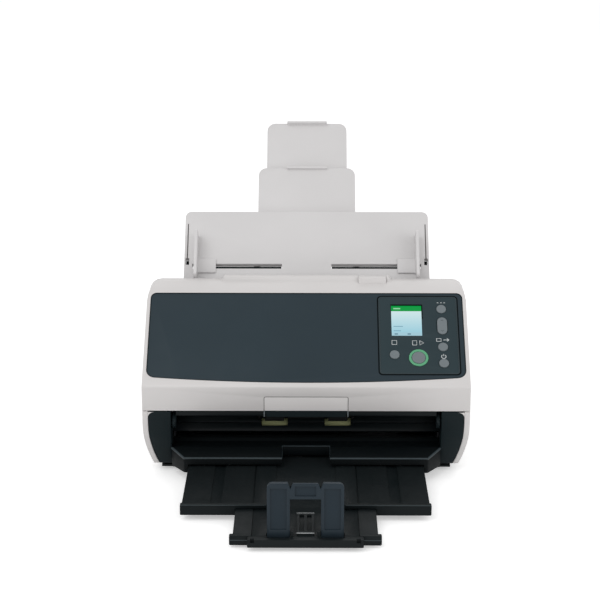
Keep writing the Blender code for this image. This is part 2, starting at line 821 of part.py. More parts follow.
def shaft_places():
    """Where the three driven shafts cross the side plates."""
    return (
        path(EJECT_ALONG, -EJECT_RADIUS - GAP / 2),
        path(FEED_ALONG, -FEED_RADIUS - GAP / 2),
        path(PICK_ALONG, -PICK_RADIUS - GAP / 2),
    )


def idler_gear_place():
    y, z = shaft_places()[2]
    distance = GEAR_MODULE * (PICK_TEETH + IDLER_TEETH) / 2
    return y + distance * math.cos(IDLER_GEAR_BEARING), z + distance * math.sin(IDLER_GEAR_BEARING)


def pinion_place():
    y, z = idler_gear_place()
    distance = GEAR_MODULE * (IDLER_TEETH + PINION_TEETH) / 2
    return y + distance * math.cos(PINION_BEARING), z + distance * math.sin(PINION_BEARING)


def guide_ribs(name, base, out, low, high):
    """Fine ribs that the sheet slides on."""
    ribs = []
    for index in range(RIB_COUNT):
        for side in (-1, 1):
            x = side * (0.012 + index * RIB_PITCH)
            low_out = min(base, out)
            ribs.append(((x - RIB_WIDTH / 2, low, low_out), (x + RIB_WIDTH / 2, high, max(base, out))))
    return blocks(name, ribs, PATH)


def tyre_windows(name, along, tyre, width, reach, low, high):
    boxes = []
    for x in (-tyre, tyre):
        half = width / 2 + 0.0006
        boxes.append(((x - half, along - reach, low), (x + half, along + reach, high)))
    return blocks(name, boxes, PATH)


def make_lower_guide():
    top = LOWER_GUIDE_OUT
    bottom = top - GUIDE_THICKNESS
    half = LOWER_GUIDE_HALF_WIDTH
    guide = block("lower_guide", (-half, -0.001, bottom), (half, LOWER_GUIDE_END, top), PATH, GUIDE_GREY)
    join(guide, guide_ribs("Lower ribs", top - 0.001, top + RIB_HEIGHT, 0.062, 0.124))
    low, high = bottom - 0.002, top + 0.002
    glass_low, glass_high = LOWER_HEAD_LOW + GLASS_EDGE, LOWER_HEAD_HIGH - GLASS_EDGE
    glass = block(
        "Lower glass window",
        (-GLASS_HALF_WIDTH - GAP, glass_low - GAP, low),
        (GLASS_HALF_WIDTH + GAP, glass_high + GAP, high),
        PATH,
    )
    cut(
        guide,
        glass,
        tyre_windows("Eject windows", EJECT_ALONG, EJECT_TYRE, EJECT_TYRE_WIDTH, 0.0068, low, high),
        tyre_windows("Feed windows", FEED_ALONG, FEED_TYRE, FEED_TYRE_WIDTH, 0.0068, low, high),
        tyre_windows("Pick windows", PICK_ALONG, PICK_TYRE, PICK_TYRE_WIDTH, 0.0082, low, high),
        catch_slots("Lower catch slots", low, high),
        block("Belt slot", (PULLEY_START - 0.0005, -0.002, low), (PULLEY_START + PULLEY_WIDTH + 0.0005, 0.094, high), PATH),
    )


def catch_slots(name, low, high):
    """Openings beside the sheet that the release lever's fingers reach through."""
    boxes = [((x - 0.0025, 0.120, low), (x + 0.0025, 0.1345, high)) for x in (-FINGER_X, FINGER_X)]
    return blocks(name, boxes, PATH)


def make_lower_head():
    under = LOWER_GUIDE_OUT - GUIDE_THICKNESS - GAP
    block(
        "lower_scan_head",
        (-HEAD_HALF_WIDTH, LOWER_HEAD_LOW, under - HEAD_DEPTH),
        (HEAD_HALF_WIDTH, LOWER_HEAD_HIGH, under),
        PATH,
        PILLAR_GREY,
    )
    top = LOWER_GUIDE_OUT - 0.0002
    block(
        "lower_glass",
        (-GLASS_HALF_WIDTH, LOWER_HEAD_LOW + GLASS_EDGE, under + GAP),
        (GLASS_HALF_WIDTH, LOWER_HEAD_HIGH - GLASS_EDGE, top),
        PATH,
        GLASS,
    )


# ---------------------------------------------------------------- drive


def make_drive():
    eject, feed, pick = shaft_places()
    make_roller("eject_roller", eject, EJECT_RADIUS, EJECT_TYRE, EJECT_TYRE_WIDTH, PULLEY_RADIUS, KHAKI)
    make_roller("feed_roller", feed, FEED_RADIUS, FEED_TYRE, FEED_TYRE_WIDTH, PULLEY_RADIUS, KHAKI)
    make_roller("pick_roller", pick, PICK_RADIUS, PICK_TYRE, PICK_TYRE_WIDTH, None, RUBBER)
    make_motors()
    make_gears(pick)
    wheels = [(*eject, PULLEY_RADIUS), (MOTOR_Y, MOTOR_Z, MOTOR_PULLEY_RADIUS), (*feed, PULLEY_RADIUS)]
    outer = belt_outline(wheels, GAP + BELT_THICKNESS)
    inner = belt_outline(wheels, GAP)
    start = PULLEY_START + (PULLEY_WIDTH - BELT_WIDTH) / 2
    slab("transport_belt", [outer, inner], start, start + BELT_WIDTH, "side", material=RUBBER)


def shaft_profile(tyres, pulley):
    """Radius and X, from the drive end to the far end."""
    drive_end = PULLEY_START + PULLEY_WIDTH if pulley else GEAR_START + GEAR_WIDTH + 0.001
    profile = [(0.0, drive_end)]
    if pulley:
        profile += [(pulley, drive_end), (pulley, PULLEY_START), (SHAFT_RADIUS, PULLEY_START)]
    else:
        profile += [(SHAFT_RADIUS, drive_end)]
    for radius, high, low in tyres:
        profile += [(SHAFT_RADIUS, high), (radius, high), (radius, low), (SHAFT_RADIUS, low)]
    return profile + [(SHAFT_RADIUS, -SHAFT_LEFT), (0.0, -SHAFT_LEFT)]


def across(y, z, x=0.0):
    """A frame whose Z runs along X, at a place seen from the side."""
    return Matrix.Translation((x, y, z)) @ Matrix.Rotation(math.radians(90), 4, "Y")


def make_roller(name, spot, radius, tyre, width, pulley, material):
    tyres = [(radius, x + width / 2, x - width / 2) for x in (tyre, -tyre)]
    roller = turned(name, shaft_profile(tyres, pulley), across(*spot), material)
    move_together(name + "_axis", Matrix.Translation((0, *spot)), roller)


def make_motors():
    inside = CHASSIS_HALF_WIDTH - CHASSIS_THICKNESS - GAP
    flange = 0.002
    for name, (y, z), radius, length in (
        ("feed_motor", (MOTOR_Y, MOTOR_Z), FEED_MOTOR_RADIUS, FEED_MOTOR_LENGTH),
        ("pick_motor", pinion_place(), PICK_MOTOR_RADIUS, PICK_MOTOR_LENGTH),
    ):
        motor = drums(name, [((inside - length, y, z), radius, length)], "X", material=STEEL, sides=20)
        plate = rectangle(y - radius - 0.001, z - radius - 0.001, y + radius + 0.001, z + radius + 0.001, 0.003)
        join(motor, slab(name + " flange", [plate], inside - flange, inside + 0.00005, "side"))
    start = CHASSIS_HALF_WIDTH - CHASSIS_THICKNESS
    end = PULLEY_START + PULLEY_WIDTH
    profile = [
        (0.0, end),
        (MOTOR_PULLEY_RADIUS, end),
        (MOTOR_PULLEY_RADIUS, PULLEY_START),
        (0.002, PULLEY_START),
        (0.002, start),
        (0.0, start),
    ]
    pulley = turned("motor_pulley", profile, across(MOTOR_Y, MOTOR_Z), NYLON)
    move_together("motor_pulley_axis", Matrix.Translation((0, MOTOR_Y, MOTOR_Z)), pulley)


def make_gears(pick):
    """Pick roller gear, idler and motor pinion, set so that a tooth faces each gap."""
    idler = idler_gear_place()
    pinion = pinion_place()
    tooth = 2 * math.pi / IDLER_TEETH
    idler_phase = IDLER_GEAR_BEARING + math.pi + tooth / 2
    offset = (PINION_BEARING - idler_phase + tooth / 2) % tooth - tooth / 2
    pinion_phase = PINION_BEARING + math.pi + offset * IDLER_TEETH / PINION_TEETH + math.pi / PINION_TEETH
    end = GEAR_START + GEAR_WIDTH
    for name, spot, teeth, phase, bore in (
        ("pick_gear", pick, PICK_TEETH, IDLER_GEAR_BEARING, SHAFT_RADIUS + GAP),
        ("idler_gear", idler, IDLER_TEETH, idler_phase, SHAFT_RADIUS + GAP),
        ("motor_pinion", pinion, PINION_TEETH, pinion_phase, None),
    ):
        outlines = [gear_outline(spot, teeth, phase)]
        if bore:
            outlines.append(circle(spot, bore, 16))
        gear = slab(name, outlines, GEAR_START, end, "side", material=NYLON)
        if not bore:
            start = CHASSIS_HALF_WIDTH - CHASSIS_THICKNESS
            join(gear, drums("Pinion shaft", [((start, *spot), 0.002, end - start - 0.001)], "X", sides=12))
        move_together(name + "_axis", Matrix.Translation((0, *spot)), gear)


# ---------------------------------------------------------------- electronics at the back


def make_electronics():
    front = CHASSIS_BACK + GAP
    back = front + MAIN_BOARD_THICKNESS
    board = block("main_board", (-HEAD_HALF_WIDTH, front, 0.028), (0.070, back, 0.110), material=BOARD_GREEN)
    chips = []
    for x, z, width in ((-0.040, 0.075, 0.018), (0.010, 0.060, 0.014), (0.045, 0.085, 0.010)):
        chips.append(((x, back - 0.0005, z), (x + width, back + 0.0012, z + width)))
    join(board, blocks("Chips", chips))
    x, width, z, height = DC_INLET
    inlet = socket("dc_inlet", DC_INLET, STEEL)
    facing_in = Matrix.Translation((x, BODY_DEPTH + 0.0005, z + height / 2)) @ Matrix.Rotation(math.radians(90), 4, "X")
    cut(inlet, drums("Inlet bore", [((0, 0, 0), 0.0040, 0.0065)], "Z", facing_in, sides=16))
    ports = socket("data_ports", DATA_PORTS[0], STEEL)
    front = CHASSIS_BACK + MAIN_BOARD_THICKNESS + 2 * GAP
    (first_x, _, port_z, _), (second_x, _, _, second_height) = DATA_PORTS
    low = (first_x - 0.010, front + 0.0001, port_z - 0.001)
    shield = block("Port shield", low, (second_x + 0.010, front + 0.0012, port_z + second_height - 0.001))
    join(ports, socket("Network port", DATA_PORTS[1]), shield)
    rim = 0.0012
    mouths = []
    for x, width, z, height in DATA_PORTS:
        low = (x - width / 2 + rim, BODY_DEPTH - 0.006, z + rim)
        mouths.append((low, (x + width / 2 - rim, BODY_DEPTH + 0.001, z + height - rim)))
    cut(ports, blocks("Port mouths", mouths))


def socket(name, size, material=None):
    x, width, z, height = size
    front = CHASSIS_BACK + MAIN_BOARD_THICKNESS + 2 * GAP
    return block(name, (x - width / 2, front, z), (x + width / 2, BODY_DEPTH - 0.0005, z + height), material=material)


# ---------------------------------------------------------------- exit tray and stacker


def make_tray():
    """The housing that the stacker slides under, with a finger notch in the middle."""
    inside = PILLAR_INNER - GAP
    back = 0.034
    nose = inside - TRAY_TAPER
    plan = outline(
        [(-inside, back), (-inside, 0.0), (-nose, TRAY_FRONT, 0.003), (nose, TRAY_FRONT, 0.003), (inside, 0.0), (inside, back)]
    )
    housing = slab("tray_housing", [plan], TRAY_BOTTOM, TRAY_BACK_TOP + 0.001, "top", material=TRAY_BLACK)
    profile = [
        (TRAY_FRONT - 0.001, 0.0),
        (TRAY_FRONT - 0.001, TRAY_FRONT_TOP),
        (0.0, TRAY_BACK_TOP),
        (0.010, TRAY_BACK_TOP - 0.0022),
        (0.022, TRAY_BACK_TOP - 0.0022),
        (0.0245, TRAY_BACK_TOP + 0.0003),
        (0.0325, TRAY_BACK_TOP + 0.0003),
        (0.0325, DECK_HEIGHT + CHASSIS_THICKNESS + GAP),
        (0.0200, DECK_HEIGHT + CHASSIS_THICKNESS + GAP),
        (0.0200, 0.0),
    ]
    keep_inside(housing, slab("Tray profile", [profile], -0.17, 0.17, "side"))
    channel_half = PLATE_HALF_WIDTH + GAP
    channel = block("Stacker channel", (-channel_half, -0.03, 0.0), (channel_half, 0.03, CHANNEL_TOP))
    pan_clear = block(
        "Pan clearance", (-PLATE_HALF_WIDTH - 0.00775, 0.0115, 0.0), (PLATE_HALF_WIDTH + 0.00775, 0.03, DECK_HEIGHT + GAP)
    )
    plate_in, plate_out = CHASSIS_HALF_WIDTH - 0.0021, CHASSIS_HALF_WIDTH + 0.0062
    feet_clear = block("Side plate clearance", (-plate_out, 0.0264, 0.0), (-plate_in, 0.04, 0.03))
    feet_clear_right = block("Side plate clearance right", (plate_in, 0.0264, 0.0), (plate_out, 0.04, 0.03))
    notch = slab(
        "Finger notch",
        [rectangle(-NOTCH_HALF_WIDTH, TRAY_FRONT - 0.01, NOTCH_HALF_WIDTH, NOTCH_BACK, 0.003)],
        0.0, 0.04, "top",
    )
    cut(housing, channel, pan_clear, feet_clear, feet_clear_right, notch)


def make_stacker():
    plate = make_stacker_plate()
    move_together("stacker_plate_slide", Matrix.Translation((0, PLATE_FRONT, PLATE_TOP)), plate)
    first = make_first_extension()
    move_together("stacker_extension_1_slide", Matrix.Translation((0, FIRST_FRONT, PLATE_TOP)), first)
    second = make_second_extension()
    move_together("stacker_extension_2_slide", Matrix.Translation((0, SECOND_FRONT, SECOND_TOP)), second)
    stopper = make_stopper()
    move_together("stopper_hinge", Matrix.Translation((0, STOPPER_Y, STOPPER_PIVOT_Z)), stopper)


def make_stacker_plate():
    skin = PLATE_TOP - PLATE_SKIN
    groove = PLATE_TOP - 0.0010
    guide = FIRST_HALF_WIDTH + GAP
    half = [
        (0.0, skin),
        (guide, skin),
        (guide, PLATE_BOTTOM + 0.0015),
        (guide - 0.0040, PLATE_BOTTOM + 0.0015),
        (guide - 0.0040, PLATE_BOTTOM),
        (guide + 0.0030, PLATE_BOTTOM),
        (guide + 0.0030, skin),
        (PLATE_HALF_WIDTH - 0.0035, skin),
        (PLATE_HALF_WIDTH - 0.0035, PLATE_BOTTOM),
        (PLATE_HALF_WIDTH, PLATE_BOTTOM),
        (PLATE_HALF_WIDTH, PLATE_TOP),
        (0.0828, PLATE_TOP),
        (0.0828, groove),
        (0.0730, groove),
        (0.0730, PLATE_TOP),
        (0.0460, PLATE_TOP),
        (0.0460, groove),
        (0.0448, groove),
        (0.0448, PLATE_TOP),
        (0.0270, PLATE_TOP),
        (0.0270, groove),
        (0.0, groove),
    ]
    lip_back = PLATE_FRONT + PLATE_LIP_DEPTH
    plate = slab("stacker_plate", [both_sides(half)], lip_back - 0.001, PLATE_BACK, "front", material=TRAY_BLACK)
    wide = PLATE_LIP_HALF_WIDTH
    lip_half = [
        (0.0, skin + 0.0001),
        (guide + 0.0001, skin + 0.0001),
        (guide + 0.0001, PLATE_BOTTOM - 0.0002),
        (wide, PLATE_BOTTOM - 0.0002, 0.001),
        (wide, PLATE_TOP + 0.0002, 0.001),
        (0.0, PLATE_TOP + 0.0002),
    ]
    lip = slab("Stacker lip", [both_sides(lip_half)], PLATE_FRONT, lip_back, "front")
    bay_half = STOPPER_BAY_HALF_WIDTH
    bay = block("Stopper bay", (-bay_half, PLATE_FRONT - 0.01, skin - 0.002), (bay_half, STOPPER_BAY_BACK, 0.02))
    join(plate, lip)
    return cut(plate, bay)


def make_first_extension():
    top = PLATE_TOP - PLATE_SKIN - GAP
    bottom = top - FIRST_THICKNESS
    channel_half = SECOND_HALF_WIDTH + GAP
    channel_floor = SECOND_TOP - SECOND_THICKNESS - GAP
    ledge = FIRST_HALF_WIDTH - 0.0040
    half = [
        (0.0, bottom),
        (ledge, bottom),
        (ledge, PLATE_BOTTOM + 0.0015 + GAP),
        (FIRST_HALF_WIDTH, PLATE_BOTTOM + 0.0015 + GAP),
        (FIRST_HALF_WIDTH, top),
        (channel_half, top),
        (channel_half, channel_floor),
        (0.0, channel_floor),
    ]
    lip_back = FIRST_FRONT + FIRST_LIP_DEPTH
    body = slab("stacker_extension_1", [both_sides(half)], lip_back - 0.001, FIRST_BACK, "front", material=TRAY_BLACK)
    wide = FIRST_LIP_HALF_WIDTH
    lip_outline = outline(
        [
            (-wide, FIRST_LIP_BOTTOM, 0.001),
            (wide, FIRST_LIP_BOTTOM, 0.001),
            (wide, top - 0.0001, 0.001),
            (channel_half + 0.0001, top - 0.0001),
            (channel_half + 0.0001, channel_floor - 0.0001),
            (-channel_half - 0.0001, channel_floor - 0.0001),
            (-channel_half - 0.0001, top - 0.0001),
            (-wide, top - 0.0001, 0.001),
        ]
    )
    return join(body, slab("First lip", [lip_outline], FIRST_FRONT, lip_back, "front"))


def make_second_extension():
    bottom = SECOND_TOP - SECOND_THICKNESS
    bar_back = FIRST_FRONT - GAP
    tongue = block(
        "stacker_extension_2",
        (-SECOND_HALF_WIDTH, bar_back - 0.001, bottom),
        (SECOND_HALF_WIDTH, SECOND_BACK, SECOND_TOP),
        material=TRAY_BLACK,
    )
    wide = SECOND_BAR_HALF_WIDTH
    bar = slab(
        "Second bar", [rectangle(-wide, SECOND_BAR_BOTTOM, wide, SECOND_TOP + 0.0001, 0.001)], SECOND_FRONT, bar_back, "front"
    )
    ears = []
    for side in (-1, 1):
        low_x, high_x = sorted((side * 0.0099, side * (STOPPER_WINDOW - 0.0004)))
        ears.append(((low_x, STOPPER_Y - 0.0028, SECOND_TOP - 0.001), (high_x, STOPPER_Y + 0.0028, PLATE_TOP + 0.0002)))
    frame = slab(
        "Raised frame",
        [rectangle(-0.00725, -0.1595, 0.00725, -0.1145, 0.001), rectangle(-0.0052, -0.1540, -0.0012, -0.1200),
         rectangle(0.0012, -0.1540, 0.0052, -0.1200)],
        SECOND_TOP - 0.0005, SECOND_TOP + 0.0021, "top",
    )
    pin_bore = drums("Stopper bore", [((-0.014, STOPPER_Y, STOPPER_PIVOT_Z), 0.0016, 0.028)], "X", sides=12)
    slots = []
    for side in (-1, 1):
        low_x, high_x = sorted((side * (STOPPER_WINDOW - 0.0003), side * (STOPPER_HALF_WIDTH + 0.0008)))
        slots.append(((low_x, STOPPER_Y - 0.0050, bottom + 0.0002), (high_x, STOPPER_Y + 0.0050, SECOND_TOP + 0.001)))
    ends = []
    for side in (-1, 1):
        low_x, high_x = sorted((side * 0.0425, side * 0.0460))
        ends.append(((low_x, SECOND_FRONT - 0.001, SECOND_TOP - 0.0030), (high_x, SECOND_FRONT + 0.0035, SECOND_TOP + 0.001)))
    join(tongue, bar, blocks("Stopper ears", ears), frame)
    return cut(tongue, blocks("Stopper slots", slots), pin_bore, blocks("End notches", ends))


def make_stopper():
    """A fence with two ribbed uprights and a bridge across their tops."""
    window = STOPPER_WINDOW
    half = [
        (0.0, STOPPER_BRIDGE),
        (window, STOPPER_BRIDGE),
        (window, STOPPER_FOOT),
        (STOPPER_HALF_WIDTH, STOPPER_FOOT),
        (STOPPER_HALF_WIDTH, STOPPER_TOP, 0.0045),
        (window + 0.0018, STOPPER_TOP),
        (window - 0.0004, STOPPER_TOP - 0.005),
        (window - 0.0026, STOPPER_TOP),
        (0.0, STOPPER_TOP),
    ]
    front = STOPPER_Y - STOPPER_THICKNESS / 2
    back = STOPPER_Y + STOPPER_THICKNESS / 2
    stopper = slab("stopper", [both_sides(half)], front, back, "front", material=STOPPER_GREY)
    border = STOPPER_BORDER
    pockets = []
    for side in (-1, 1):
        low_x, high_x = sorted((side * (window + border), side * (STOPPER_HALF_WIDTH - border)))
        pockets.append(((low_x, front - 0.001, 0.0165), (high_x, front + 0.0013, STOPPER_TOP - border - 0.002)))
    pockets.append(((-0.0088, front - 0.001, STOPPER_BRIDGE + border), (0.0088, front + 0.0013, STOPPER_TOP - border)))
    stubs = []
    for start in (-window - 0.001, window - 0.0021):
        stubs.append(((start, STOPPER_Y, STOPPER_PIVOT_Z), 0.0013, 0.0031))
    pockets.append(((GAP - window, STOPPER_Y - 0.0002, STOPPER_BRIDGE - 0.001), (window - GAP, back + 0.001, 0.060)))
    cut(stopper, blocks("Stopper pockets", pockets))
    return join(stopper, drums("Stopper stubs", stubs, "X", sides=12))


# ---------------------------------------------------------------- chute


def make_chute():
    low = LOWER_GUIDE_END + GAP
    bottom = CHUTE_OUT - CHUTE_THICKNESS
    wide = CHUTE_HALF_WIDTH
    plan = both_sides(
        [
            (0.0, low),
            (CHUTE_EAR_HALF_WIDTH, low),
            (CHUTE_EAR_HALF_WIDTH, CHUTE_EAR_TOP, 0.003),
            (wide, CHUTE_EAR_TOP),
            (wide, CHUTE_TOP, CHUTE_CORNER),
            (0.0, CHUTE_TOP),
        ]
    )
    chute = slab("chute", [plan], bottom, CHUTE_OUT, "top", PATH, CHUTE_GREY)
    first_half = CHUTE_FIRST_HALF_WIDTH + GAP
    first_bottom = bottom - CHUTE_EXTENSION_THICKNESS - 2 * GAP
    hollows = []
    grooves = []
    pockets = []
    for side in (-1, 1):
        for start, end in ((0.135, 0.1625), (0.1775, CHUTE_TOP - 0.004)):
            low_x, high_x = sorted((side * 0.056, side * (wide - 0.008)))
            hollows.append(((low_x, start, bottom - 0.002), (high_x, end, CHUTE_OUT - 0.0028)))
        middle = side * (wide - GROOVE_INSET)
        grooves.append(((middle - 0.0005, 0.1755, CHUTE_OUT - 0.0010), (middle + 0.0005, 0.2130, CHUTE_OUT + 0.001)))
        pockets.append(((middle - 0.0018, 0.1690, bottom - 0.001), (middle + 0.0018, 0.1760, CHUTE_OUT + 0.001)))
    slots = []
    for side in (-1, 1):
        low_x, high_x = sorted((side * 0.024, side * (CHUTE_HALF_WIDTH - 0.008)))
        slots.append(((low_x, GUIDE_SLOT_LOW, bottom - 0.001), (high_x, GUIDE_SLOT_HIGH, CHUTE_OUT + 0.001)))
    cut(chute, blocks("Chute hollows", hollows, PATH), blocks("Chute grooves", grooves, PATH))
    cut(chute, blocks("Edge holes", pockets, PATH))
    join(chute, *rails("Chute rail", first_half, 0.160, CHUTE_TOP - 0.004, bottom + 0.0005, first_bottom))
    cut(chute, blocks("Guide slots", slots, PATH), catch_slots("Chute catch slots", bottom - 0.001, CHUTE_OUT + 0.001))
    for side, sign in (("left", -1), ("right", 1)):
        make_side_guide(side, sign)
    make_chute_extensions(bottom)


def make_side_guide(side, sign):
    inner = GUIDE_INNER
    outer = GUIDE_INNER + GUIDE_WALL
    base = CHUTE_OUT + GAP
    fence = outline(
        [(GUIDE_LOW, base), (GUIDE_HIGH, base), (GUIDE_HIGH, base + GUIDE_HEIGHT, 0.005), (GUIDE_LOW + GUIDE_LEAN, base + GUIDE_HEIGHT, 0.004)]
    )
    low_x, high_x = sorted((sign * inner, sign * outer))
    guide = slab(side + "_side_guide", [fence], low_x, high_x, "side", PATH, CHUTE_GREY)
    foot_low, foot_high = sorted((sign * (inner - 0.0175), sign * (inner + 0.001)))
    foot = block(side + " guide foot", (foot_low, 0.160, base), (foot_high, 0.175, base + 0.0012), PATH)
    stub_low, stub_high = sorted((sign * (inner - 0.0055), sign * (inner + 0.001)))
    stub = block(
        side + " guide stub",
        (stub_low, GUIDE_SLOT_LOW + GAP, CHUTE_OUT - CHUTE_THICKNESS + 0.0005),
        (stub_high, GUIDE_SLOT_HIGH - GAP, base + 0.0006),
        PATH,
    )
    join(guide, foot, stub)
    move_together(side + "_side_guide_slide", PATH @ Matrix.Translation((sign * inner, GUIDE_SLOT_LOW, CHUTE_OUT)), guide)


def make_chute_extensions(bottom):
    thick = CHUTE_EXTENSION_THICKNESS
    top_1 = bottom - GAP
    first = slab(
        "chute_extension_1",
        [extension_plan(CHUTE_FIRST_HALF_WIDTH, CHUTE_FIRST_LOW, CHUTE_FIRST_HIGH)],
        top_1 - thick, top_1, "top", PATH, CHUTE_GREY,
    )
    low_1 = top_1 - thick
    second_half = CHUTE_SECOND_HALF_WIDTH
    hooks = rails(
        "Extension rail",
        second_half + GAP,
        CHUTE_FIRST_LOW + 0.010,
        CHUTE_FIRST_HIGH - 0.004,
        low_1 + 0.0005,
        low_1 - thick - 2 * GAP,
    )
    lip = block(
        "First chute lip", (-0.020, CHUTE_FIRST_HIGH - CHUTE_LIP, low_1 + 0.001), (0.020, CHUTE_FIRST_HIGH, top_1 + 0.0033), PATH
    )
    join(first, lip, *hooks)
    top_2 = low_1 - GAP
    second = slab(
        "chute_extension_2",
        [extension_plan(second_half, CHUTE_SECOND_LOW, CHUTE_SECOND_HIGH)],
        top_2 - thick, top_2, "top", PATH, CHUTE_GREY,
    )
    lip_2 = block(
        "Second chute lip", (-0.020, CHUTE_SECOND_HIGH - CHUTE_LIP, top_2 - 0.002), (0.020, CHUTE_SECOND_HIGH, top_2 + 0.0053), PATH
    )
    join(second, lip_2)
    move_together("chute_extension_1_slide", PATH @ Matrix.Translation((0, CHUTE_FIRST_LOW, top_1)), first)
    move_together("chute_extension_2_slide", PATH @ Matrix.Translation((0, CHUTE_SECOND_LOW, top_2)), second)


def rails(name, half, low, high, top, ledge):
    """A pair of hooked rails under a plate, for the extension that slides in them."""
    found = []
    for side in (-1, 1):
        profile = [
            (side * half, top),
            (side * half, ledge),
            (side * (half - RAIL_WIDTH), ledge),
            (side * (half - RAIL_WIDTH), ledge - 0.0015),
            (side * (half + RAIL_WIDTH), ledge - 0.0015),
            (side * (half + RAIL_WIDTH), top),
        ]
        found.append(slab(name, [profile], low, high, "front", PATH))
    return found


def extension_plan(half, low, high):
    return outline([(-half, low), (half, low), (half, high, 0.008), (-half, high, 0.008)])


# ---------------------------------------------------------------- cover


def make_cover():
    pieces = [
        make_cover_shell(),
        make_face_panel(),
        make_front_cap(),
        make_lower_trim(),
        make_inner_guide(),
        *make_hinge_arms(),
        *make_upper_head(),
        *make_operator_panel(),
    ]
    move_together("cover_hinge", Matrix.Translation((0, HINGE_Y, HINGE_Z)), *pieces)
    make_buttons()
    make_idlers()
    make_release_lever()


def cover_face(inset, corner, hump):
    """The cover seen from the front, with its rounded top corners and raised middle."""
    half = HALF_WIDTH - inset
    top = RIDGE_Z - inset
    points = [(0.0, 0.030), (half, 0.030), (half, top, corner)]
    if hump:
        points += [(HUMP_HALF_WIDTH + HUMP_SLOPE, top), (HUMP_HALF_WIDTH, HUMP_Z)]
        points += [(0.0, HUMP_Z)]
    else:
        points += [(0.0, top)]
    return both_sides(points)


def make_cover_shell():
    shell = slab("cover_shell", [cover_outline()], -HALF_WIDTH, HALF_WIDTH, "side", material=WHITE)
    face = slab("Cover face", [cover_face(0.0, COVER_CORNER, True)], -0.05, 0.20, "front")
    inside_profile = [
        (SHELL_WALL, 0.045),
        panel_at_front(SHELL_WALL, -SHELL_WALL),
        panel(PANEL_LENGTH, -SHELL_WALL),
        (RIDGE_Y + 0.001, RIDGE_Z - SHELL_WALL),
        (0.140, RIDGE_Z - SHELL_WALL),
        (0.140, 0.045),
    ]
    inside = slab("Cover inside", [inside_profile], -COVER_INSIDE, COVER_INSIDE, "side")
    inside_face = slab("Cover inside face", [cover_face(HALF_WIDTH - COVER_INSIDE, 0.009, False)], -0.05, 0.20, "front")
    keep_inside(inside, inside_face)
    opening = slab("Face opening", [panel_outline()], -0.008, 0.006, "top", PANEL)
    cap_hole = slab(
        "Cap opening",
        [rectangle(-CAP_HALF_WIDTH - GAP, 0.040, CAP_HALF_WIDTH + GAP, CAP_TOP + GAP, 0.0015)],
        -0.010, SHELL_WALL + 0.001, "front",
    )
    rounds = []
    for start in (-HALF_WIDTH - 0.005, PILLAR_INNER - 0.0005):
        rounds.append(((start, HINGE_Y, HINGE_Z), HINGE_ROUND + GAP, HALF_WIDTH + 0.0055 - PILLAR_INNER))
    hinge_room = drums("Hinge rounds", rounds, "X", sides=48)
    lever_slot = block("Lever slot", (LEVER_LEFT - 0.0004, 0.0925, 0.1500), (LEVER_RIGHT + 0.0004, 0.1120, 0.1700))
    keep_inside(shell, face)
    return cut(shell, inside, opening, cap_hole, hinge_room, lever_slot)


def make_face_panel():
    face = slab("face_panel", [panel_outline(GAP)], -GAP - PANEL_THICKNESS, -GAP, "top", PANEL, SLATE)
    hole = rectangle(
        OPERATOR_LEFT - GAP, OPERATOR_LOW - GAP, OPERATOR_RIGHT + GAP, OPERATOR_HIGH + GAP, OPERATOR_CORNER + GAP
    )
    return cut(face, slab("Operator opening", [hole], -0.010, 0.010, "top", PANEL))


def make_front_cap():
    cap = slab(
        "front_cap",
        [outline([(-CAP_HALF_WIDTH, BAND_BOTTOM), (CAP_HALF_WIDTH, BAND_BOTTOM), (CAP_HALF_WIDTH, CAP_TOP, 0.0015), (-CAP_HALF_WIDTH, CAP_TOP, 0.0015)])],
        0.0, SHELL_WALL - 0.0006, "front", material=WHITE,
    )
    soften(cap, 0.0003)
    return cap


def make_lower_trim():
    inside = SHELL_WALL + GAP
    front = SHELL_WALL - 0.001
    top = BAND_BOTTOM - GAP
    thick = 0.0020
    profile = [
        (front, TRIM_BOTTOM),
        (front, top),
        (inside, top),
        (inside, top + 0.008),
        (inside + thick, top + 0.008),
        (inside + thick, TRIM_BOTTOM + 0.002),
        (TRIM_DEPTH + 0.0025, 0.0534),
        (TRIM_DEPTH + 0.0015, 0.0516),
    ]
    half = PILLAR_INNER - 0.0046
    return slab("lower_trim", [outline(profile)], -half, half, "side", material=TRAY_BLACK)


